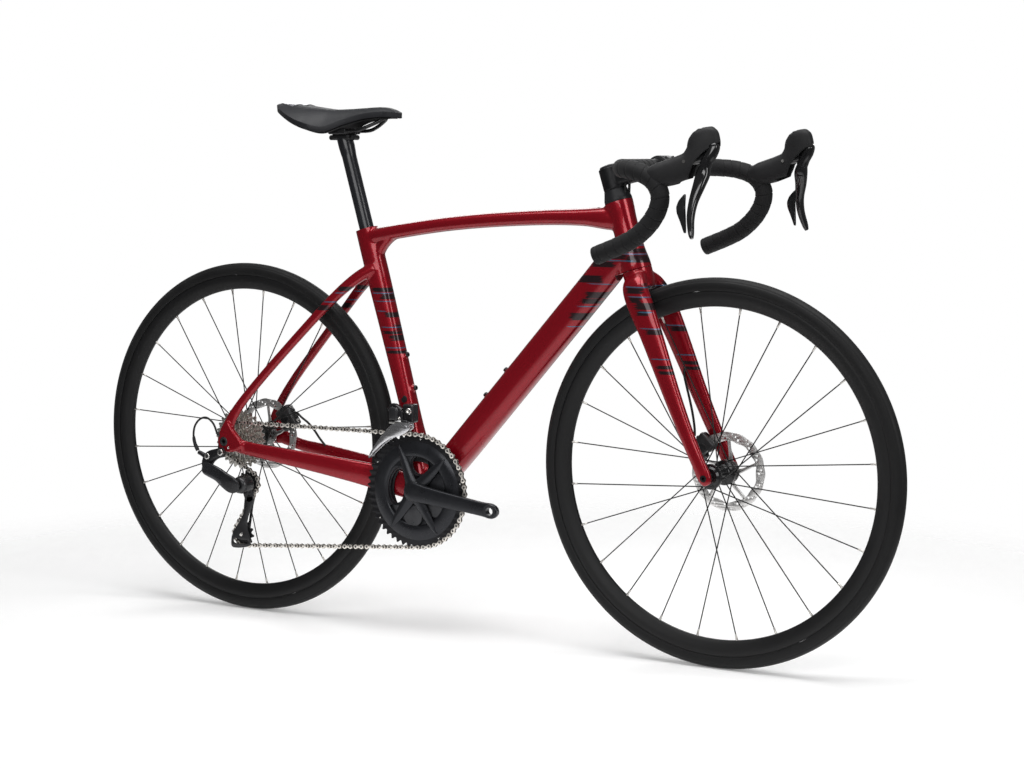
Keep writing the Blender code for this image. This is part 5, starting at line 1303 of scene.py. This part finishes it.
CHANGER_BLADE = mm([(-95, 399), (-120, 398.5), (-136.5, 393.5), (-148, 382), (-161, 368), (-176, 349),
                    (-186.2, 333), (-184.2, 329.6), (-176, 339), (-155, 357), (-135, 369), (-112.5, 374.5),
                    (-95.5, 386)])


def build_front_derailleur():
    block = box((-0.1205, -0.0425, 0.396), (-0.0965, -0.0215, 0.431), bevel=0.004)
    link = box((-0.148, -0.048, 0.3985), (-0.1275, -0.03, 0.4245), bevel=0.005)
    neck = box((-0.13, -0.045, 0.4), (-0.118, -0.03, 0.419), bevel=0.002)
    foot = box((-0.121, -0.048, 0.388), (-0.106, -0.03, 0.402), bevel=0.003)
    arm = smooth([(-0.126, -0.036, 0.416, 0.007, 0.006), (-0.137, -0.0345, 0.423, 0.0065, 0.0058),
                  (-0.147, -0.032, 0.424, 0.006, 0.005), (-0.156, -0.0315, 0.417, 0.004, 0.004)],
                 5, 24, 2.6)
    show(join(block, link, neck, foot, arm), "front_changer_body", "frame_assembly", "derailleur_black",
         ("front_derailleur_body",), 30)
    screws = [bolt(facing_right((-0.105, -0.0423, 0.4185)), 0.0062, 0.0042),
              bolt(facing_right((-0.124, -0.0448, 0.4045)), 0.003, 0.003),
              box((-0.145, -0.05, 0.3945), (-0.118, -0.044, 0.3985), bevel=0.001, segments=2),
              solid(dome(0.003, 0.003), facing_right((-0.109, -0.0478, 0.3945)), 20)]
    show(merged(screws), "front_changer_bolts", "frame_assembly", "steel")
    blade = rounded(CHANGER_BLADE, 0.2, 2)
    raised = resized(blade, (-0.138, 0.372), 0.86, 0.8)
    outer = plate([blade], -0.0545, 0.0008, 0.0002)
    inner = plate([blade], -0.0415, 0.0008, 0.0002)
    ridge = plate([raised], -0.0556, 0.0006, 0.0004)
    top = around(BB, 0.1215, math.radians(96))
    bridge = box((top[0] - 0.018, -0.055, top[1] - 0.0012), (top[0] + 0.004, -0.041, top[1] + 0.0014),
                 bevel=0.0006, segments=2)
    tail = around(BB, 0.115, math.radians(150))
    spacer = rod((tail[0], -0.055, tail[1]), (tail[0], -0.041, tail[1]), 0.0022, 20)
    show(merged([outer, inner, ridge, bridge, spacer]), "front_changer_cage", "frame_assembly", "cage_silver",
         ("front_derailleur_cage",), 30)


def stadium(a, b, ra, rb):
    """Outline round two circles of different radius."""
    heading = math.atan2(b[1] - a[1], b[0] - a[0])
    lean = math.acos((ra - rb) / math.dist(a, b))
    points = []
    sides = 24
    for centre, radius, start, turn in ((b, rb, -lean, 2 * lean), (a, ra, lean, 2 * math.pi - 2 * lean)):
        points += [around(centre, radius, heading + start + turn * k / sides) for k in range(sides + 1)]
    return points


FRONT_HOSE = mm([(416.5, 47, 524), (417, 40.5, 507), (422, 40, 486), (429, 40, 460), (435, 39.5, 435),
                 (439, 38.5, 412), (440, 37, 399)])
REAR_HOSE = mm([(-348, 59.8, 313.5), (-363, 60, 323), (-379, 60, 338.5), (-392, 59, 355), (-405, 58, 368),
                (-420, 57, 378), (-430, 56, 387)])
SHIFT_HOUSING = mm([(-520, -83, 356), (-526, -86, 374), (-540, -88, 385), (-556, -89, 381.5), (-568, -89.5, 368),
                    (-572, -89.5, 350), (-569, -89.2, 332), (-562.5, -89, 320)])


def cable(name, route, radius, body, node):
    """A hose on a smooth line through its route; its real length is summed but not used."""
    fine = [tuple(p) for p in curve_through(route, 4)]
    shape = sweep([(*p, radius, radius) for p in fine], 16)
    show(shape, name, body, "hose_black", (node,))
    length = sum(math.dist(a, b) for a, b in zip(fine, fine[1:]))


CAGE_FOOT = mm([(-469, 238), (-474, 220), (-481.5, 193), (-494.5, 175), (-507, 158), (-510.5, 142), (-509.5, 130),
                (-496, 129), (-466, 134), (-462.5, 144), (-468, 162), (-472, 176), (-468, 195), (-458, 215),
                (-454, 233)])
CAGE_WINDOW = mm([(-504.5, 150), (-504, 136.5), (-470, 140), (-469, 148), (-480, 145.5)])


def build_rear_derailleur():
    hanger = [stadium(REAR, (-0.511, 0.318), 0.0125, 0.0095), circle(AXLE_HOLE_R, 40, REAR)]
    hanger = plate(hanger, -0.0809, 0.002, 0.0005)
    show(hanger, "changer_hanger", "frame_assembly", "derailleur_black", ("derailleur_hanger",), 30)
    knuckle = mm([(-500, -88.5, 320.5, 9.5, 5), (-516, -88.5, 316.5, 10, 5.2), (-533, -88, 308, 13, 6),
                  (-541, -87, 295, 12.5, 7), (-540, -86.5, 278, 8.5, 6.2)])
    arm = smooth([(-0.538, -0.089, 0.306, 0.006, 0.005), (-0.55, -0.089, 0.313, 0.0046, 0.0046),
                  (-0.56, -0.089, 0.3168, 0.0042, 0.0042)], 4, 20)
    show(join(smooth(knuckle, 6, 32, 2.5), arm), "changer_upper_knuckle", "frame_assembly",
         "derailleur_black", ("derailleur_upper_knuckle",), 40)
    shell = mm([(-544, -97.5, 290.5, 8, 2), (-537, -99, 288.5, 12.2, 3.4), (-524, -100, 285, 13.4, 4.4),
                (-505, -100.2, 278, 13.6, 5), (-489, -99.6, 268, 15.2, 5), (-474, -98.5, 260, 16.2, 4.2),
                (-464, -97, 256.5, 12, 3), (-459, -96, 255, 6, 1.4)])
    shell = smooth(shell, 6, 40, 3.0)
    for look in ("derailleur_gloss", "derailleur_black"):
        shell.data.materials.append(LOOKS[look])
    for face in shell.data.polygons:
        face.material_index = 1 if face.center.x > -0.496 else 0
    show(shell, "changer_outer_link", "frame_assembly", None, ("derailleur_link_outer",), 50)
    link = plate([stadium((-0.538, 0.283), (-0.49, 0.262), 0.0085, 0.0085)], -0.076, 0.0028, 0.001)
    show(link, "changer_inner_link", "frame_assembly", "derailleur_black", ("derailleur_link_inner",), 40)
    axis = facing_right((GUIDE[0] + 0.001, 0, GUIDE[1] - 0.001))
    lower = solid([(0.0165, 0.0572), (0.018, 0.0582), (0.0182, 0.065), (0.0172, 0.076), (0.015, 0.084),
                   (0.012, 0.0865), (0.004, 0.087)], axis, 56)
    shoulder = box((-0.483, -0.0955, 0.254), (-0.464, -0.069, 0.269), bevel=0.003)
    show(join(lower, shoulder), "changer_lower_knuckle", "frame_assembly", "derailleur_black",
         ("derailleur_lower_knuckle",), 40)
    spots = (((-0.5047, -0.0932, 0.3205), 0.0066), ((-0.5362, -0.0936, 0.311), 0.0062))
    shine = [bolt(facing_right(spot), size, 0.0024, 0.55) for spot, size in spots]
    show(merged(shine), "changer_bolts", "frame_assembly", "steel")
    # Dark discs on the floors of the steel bolts' sockets: painted shade in the recesses.
    sockets = [solid([(0.5 * size, -0.002), (0.5 * size, 0.0013)], facing_right(spot), 24)
               for spot, size in spots]
    show(merged(sockets), "changer_bolt_socket_shade", "frame_assembly", "bolt_black")
    build_cage()
    cable("shift_housing", SHIFT_HOUSING, 0.002, "frame_assembly", "shift_cable_housing")
    boot = [(*p, r, r) for p, r in (((-0.5715, -0.0895, 0.347), 0.0024), ((-0.5712, -0.0894, 0.342), 0.0032),
                                    ((-0.569, -0.0893, 0.333), 0.0034), ((-0.5655, -0.0892, 0.326), 0.004),
                                    ((-0.5625, -0.089, 0.32), 0.0036))]
    show(smooth(boot, 4, 20), "cable_boot", "frame_assembly", "cover_plastic")
    port = rod((-0.512, -0.08, 0.349), (-0.5203, -0.0831, 0.3568), 0.003, 20)
    show(port, "cable_port", "frame_assembly", "cover_plastic")


def build_cage():
    top = stadium(GUIDE, (-0.466, 0.233), 0.015, 0.011)
    foot = plate([rounded(CAGE_FOOT, 0.25, 3), rounded(CAGE_WINDOW, 0.25, 3)], -0.0553, 0.0008, 0.0003)
    cap = plate([top], -0.0553, 0.0008, 0.0003)
    bolts = [rod((x, -0.056, z), (x, -0.043, z), 0.0024, 20) for x, z in (GUIDE, TENSION)]
    show(merged([foot, cap] + bolts), "changer_cage_outer", "frame_assembly", "derailleur_black",
         ("derailleur_cage_outer",), 40)
    window = stadium((-0.4735, 0.23), (-0.4815, 0.183), 0.0045, 0.0045)
    inner = plate([stadium(GUIDE, TENSION, 0.012, 0.0095), window], -0.0415, 0.0008, 0.0003)
    show(inner, "changer_cage_inner", "frame_assembly", "derailleur_black", ("derailleur_cage_inner",), 40)
    head = bolt(facing_right((TENSION[0], -0.056, TENSION[1])), 0.0036, 0.0014)
    show(head, "pulley_bolts", "frame_assembly", "steel")


def pulley(name, body, centre, phase):
    outlines = [toothed(PULLEY_TEETH, centre, phase, 0.8), circle(0.0028, 24, centre)]
    wheel_plate = plate(outlines, CHAIN_Y, 0.001, 0.0002)
    profile = [(0.0028, CHAIN_Y - 0.0044), (0.0064, CHAIN_Y - 0.0044), (0.007, CHAIN_Y - 0.0038),
               (0.007, CHAIN_Y + 0.0038), (0.0064, CHAIN_Y + 0.0044), (0.0028, CHAIN_Y + 0.0044)]
    whole = merged([turned(profile, about_y(*centre), 32), wheel_plate])
    show(whole, name + "_wheel", body, "cover_plastic", (name,), 30)


# ---------------------------------------------------------------- seat


SADDLE = mm([(-412, 16, 983.5, 976.5), (-402, 38, 988.4, 972.5), (-383, 56, 987.6, 965), (-352, 68.5, 983, 951),
             (-323, 68, 979, 940), (-290, 53, 975.5, 932), (-255, 36, 975.5, 945), (-220, 26.5, 977, 955),
             (-185, 22.5, 978, 959), (-162, 18, 973.5, 959), (-150, 9, 966.5, 957.5)])
SADDLE_COVER = 0.01


def saddle_height(station, share):
    """Height of the cover over the station's middle at a share of its half width."""
    x, _, middle, rim = station
    fall = middle - SADDLE_COVER - rim
    tail_fade, nose_fade = min(1, max(0, (x + 0.4) / 0.03)), min(1, max(0, (-0.175 - x) / 0.05))
    channel = 0.0022 * math.exp(-(share / 0.16) ** 2) * tail_fade * nose_fade
    return middle - fall * abs(share) ** 2.6 - channel


def saddle_layer(stations, top_drop, bottom_drop, inset):
    """A closed layer of the saddle between two depths below its top surface, with a rolled edge."""
    rings = []
    steps = 40
    shares = [math.sin(math.pi / 2 * (2 * k / steps - 1)) for k in range(steps + 1)]
    for station in stations:
        x, half = station[0], station[1] - inset
        top = [(x, half * s, saddle_height(station, s) - top_drop) for s in shares]
        low = [(x, 0.965 * half * s, saddle_height(station, s) - bottom_drop) for s in reversed(shares)]
        rings.append(top + low)
    return loft(rings)


def build_saddle():
    """Saddle, rails, clamp and seatpost."""
    fine = curve_through(SADDLE, 8)
    cover = saddle_layer(fine, 0, SADDLE_COVER, 0.0005)
    rolled = cover.modifiers.new("rolled", "BEVEL")
    rolled.width = 0.0035
    rolled.segments = 4
    rolled.limit_method = "ANGLE"
    rolled.angle_limit = math.radians(50)
    show(applied(cover), "saddle_pad", "saddle", "saddle_skin", ("saddle_cover",), 60)
    shell = saddle_layer(fine[8:-8], SADDLE_COVER + 0.0012, SADDLE_COVER + 0.003, 0.006)
    show(shell, "saddle_base", "saddle", "shell_plastic", ("saddle_shell",), 60)
    rings = []
    shares = [-0.62 + 1.24 * k / 16 for k in range(17)]
    for row in (row for row in fine if -0.398 < row[0] < -0.362):
        top = [(row[0], row[1] * s, saddle_height(row, s) + 0.0014) for s in shares]
        low = [(row[0], row[1] * s, saddle_height(row, s) - 0.001) for s in reversed(shares)]
        rings.append(top + low)
    show(loft(rings), "saddle_tail_patch", "saddle", "saddle_patch", (), 60)
    half = [(-0.383, 0.033, 0.9655), (-0.362, 0.028, 0.954), (-0.337, RAIL_Y, 0.9385),
            (-0.315, RAIL_Y, RAIL_Z), (-0.275, RAIL_Y, RAIL_Z), (-0.235, RAIL_Y, RAIL_Z),
            (-0.215, 0.019, 0.94), (-0.195, 0.011, 0.949), (-0.183, 0.005, 0.956)]
    full = half + [(x, -y, z) for x, y, z in reversed(half)]
    show(tube(full, 0.0035, 24, 5, side=Z_AXIS), "saddle_rail_loop", "saddle", "rail_metal", ("saddle_rails",))
    top = seat(0.679)
    clamp = box((top.x - 0.0205, -0.0265, RAIL_Z - 0.0065), (top.x + 0.0205, 0.0265, RAIL_Z + 0.0045),
                bevel=0.0035)
    yoke = box((top.x - 0.019, -0.015, RAIL_Z - 0.0172), (top.x + 0.019, 0.015, RAIL_Z - 0.004), bevel=0.0045)
    waist = box((top.x - 0.03, -0.012, RAIL_Z - 0.0005), (top.x + 0.03, 0.012, RAIL_Z + 0.02), bevel=0.002)
    tunnels = [rod((top.x - 0.05, y, RAIL_Z), (top.x + 0.05, y, RAIL_Z), 0.0037, 24) for y in (-RAIL_Y, RAIL_Y)]
    show(cut(join(clamp, yoke), waist, *tunnels), "post_clamp", "post", "bar_black", ("saddle_clamp",), 40)
    bolts = []
    for side in (-1, 1):
        x = top.x + side * 0.0245
        bolts += [rod((x, 0, RAIL_Z - 0.016), (x, 0, RAIL_Z + 0.005), 0.0025, 16),
                  rod((x, -0.008, RAIL_Z - 0.0125), (x, 0.008, RAIL_Z - 0.0125), 0.0048, 28),
                  box((min(x, top.x + side * 0.015), -0.006, RAIL_Z - 0.007),
                      (max(x, top.x + side * 0.015) + 0.002, 0.006, RAIL_Z - 0.003), bevel=0.001, segments=2)]
    show(merged(bolts), "post_clamp_bolts", "post", "bolt_black")
    column = [(SEATPOST_R, 0.345), (SEATPOST_R, 0.63), (0.014, 0.642), (0.015, 0.656),
              (0.0152, 0.67), (0.015, 0.686)]
    shape = solid(curve_through(column, 4), SEAT_PLACE)
    trim = box((-0.4, -0.1, RAIL_Z - 0.011), (-0.1, 0.1, RAIL_Z + 0.05))
    show(cut(shape, trim), "post_tube", "post", "post_carbon", ("seatpost",))


# ---------------------------------------------------------------- light, floor and camera


def area_light(name, place, target, size, power):
    light = bpy.data.lights.new(name, "AREA")
    light.shape = "RECTANGLE"
    light.size, light.size_y = size
    light.energy = power
    lamp = bpy.data.objects.new(name, light)
    lamp.location = place
    lamp.rotation_mode = "QUATERNION"
    lamp.rotation_quaternion = (Vector(target) - Vector(place)).to_track_quat("-Z", "Y")
    bpy.context.scene.collection.objects.link(lamp)


def build_studio():
    """A pale floor that fades out into a white background, and four soft lights."""
    floor = loft([[(*point, z) for point in circle(r, 64)] for r, z in ((6.0, -0.02), (6.0, 0.0), (0.2, 0.0))])
    floor.name = "studio_floor"
    material = bpy.data.materials.new("floor")
    material.use_nodes = True
    tree = material.node_tree
    shader = tree.nodes["Principled BSDF"]
    shader.inputs["Base Color"].default_value = (0.93, 0.93, 0.93, 1)
    shader.inputs["Roughness"].default_value = 0.75
    shader.inputs["Emission Color"].default_value = (1, 1, 1, 1)
    shader.inputs["Emission Strength"].default_value = 0.14
    place = add(tree, "ShaderNodeTexCoord").outputs["Object"]
    away = add(tree, "ShaderNodeVectorMath", [(0, place)], operation="LENGTH").outputs["Value"]
    fade = ranged(tree, away, 0.75, 1.75, 1.0, 0.0)
    tree.links.new(fade, shader.inputs["Alpha"])
    floor.data.materials.append(material)
    world = bpy.data.worlds.new("studio")
    bpy.context.scene.world = world
    world.use_nodes = True
    tree = world.node_tree
    sky = tree.nodes["Background"]
    seen = add(tree, "ShaderNodeLightPath").outputs["Is Camera Ray"]
    sky.inputs["Color"].default_value = (1, 1, 1, 1)
    tree.links.new(ranged(tree, seen, 0.0, 1.0, 0.1, 1.0), sky.inputs["Strength"])
    area_light("overhead", (0.2, -0.3, 3.0), (0, 0, 0.3), (3.0, 2.0), 88)
    area_light("front", (0.9, -3.6, 1.9), (0, 0, 0.5), (2.6, 1.3), 44)
    area_light("side", (3.2, -0.6, 1.5), (0.2, 0, 0.5), (1.0, 1.6), 26)
    area_light("back", (-1.2, 3.0, 2.0), (0, 0, 0.4), (2.6, 1.2), 26)
    bpy.context.scene.view_settings.view_transform = "Standard"


CAMERA_PLACE = (2.07619, -3.4102, 0.88803)
CAMERA_LENS = 76.777
CAMERA_DOWN = 5.966
CAMERA_TURN = 30.2108


def build_camera():
    """The camera of the photograph, found from the outlines of both wheels."""
    camera = bpy.data.cameras.new("camera")
    camera.sensor_width = 36.0
    camera.lens = CAMERA_LENS
    holder = bpy.data.objects.new("camera", camera)
    holder.location = CAMERA_PLACE
    holder.rotation_euler = (math.radians(90 - CAMERA_DOWN), 0, math.radians(CAMERA_TURN))
    bpy.context.scene.collection.objects.link(holder)
    bpy.context.scene.camera = holder


def main():
    build_camera()
    build_studio()
    build_frame()
    build_bearings()
    build_fork()
    build_stem()
    build_bar()
    for name, sign in (("right", -1), ("left", 1)):
        build_shifter(name, sign)
    wheel("front", AXLE_X, "front_wheel", (-0.0497, 0.0497), (0.022, -0.034), FRONT_ROTOR_Y)
    wheel("rear", -AXLE_X, "rear_wheel", (-0.0706, 0.0706), (0.035, -0.0195), REAR_ROTOR_Y)
    thru_axle("front_thru_axle", "steering", AXLE_X, -0.0632, 0.0638, 0.0085)
    thru_axle("rear_thru_axle", "frame_assembly", -AXLE_X, -0.083, 0.0787, 0.0095)
    caliper("front", "steering", AXLE_X, FRONT_ROTOR_Y, math.radians(140))
    caliper("rear", "frame_assembly", -AXLE_X, REAR_ROTOR_Y, math.radians(34))
    cable("front_hose", FRONT_HOSE, 0.0022, "steering", "front_brake_hose")
    cable("rear_hose", REAR_HOSE, 0.0022, "frame_assembly", "rear_brake_hose")
    pins = build_chain()
    build_cassette(pins)
    build_cranks(pins)
    build_front_derailleur()
    build_rear_derailleur()
    pulley("guide_pulley", "guide_wheel", GUIDE, mesh_phase(pins, GUIDE, PULLEY_TEETH))
    pulley("tension_pulley", "tension_wheel", TENSION, mesh_phase(pins, TENSION, PULLEY_TEETH))
    build_saddle()


main()
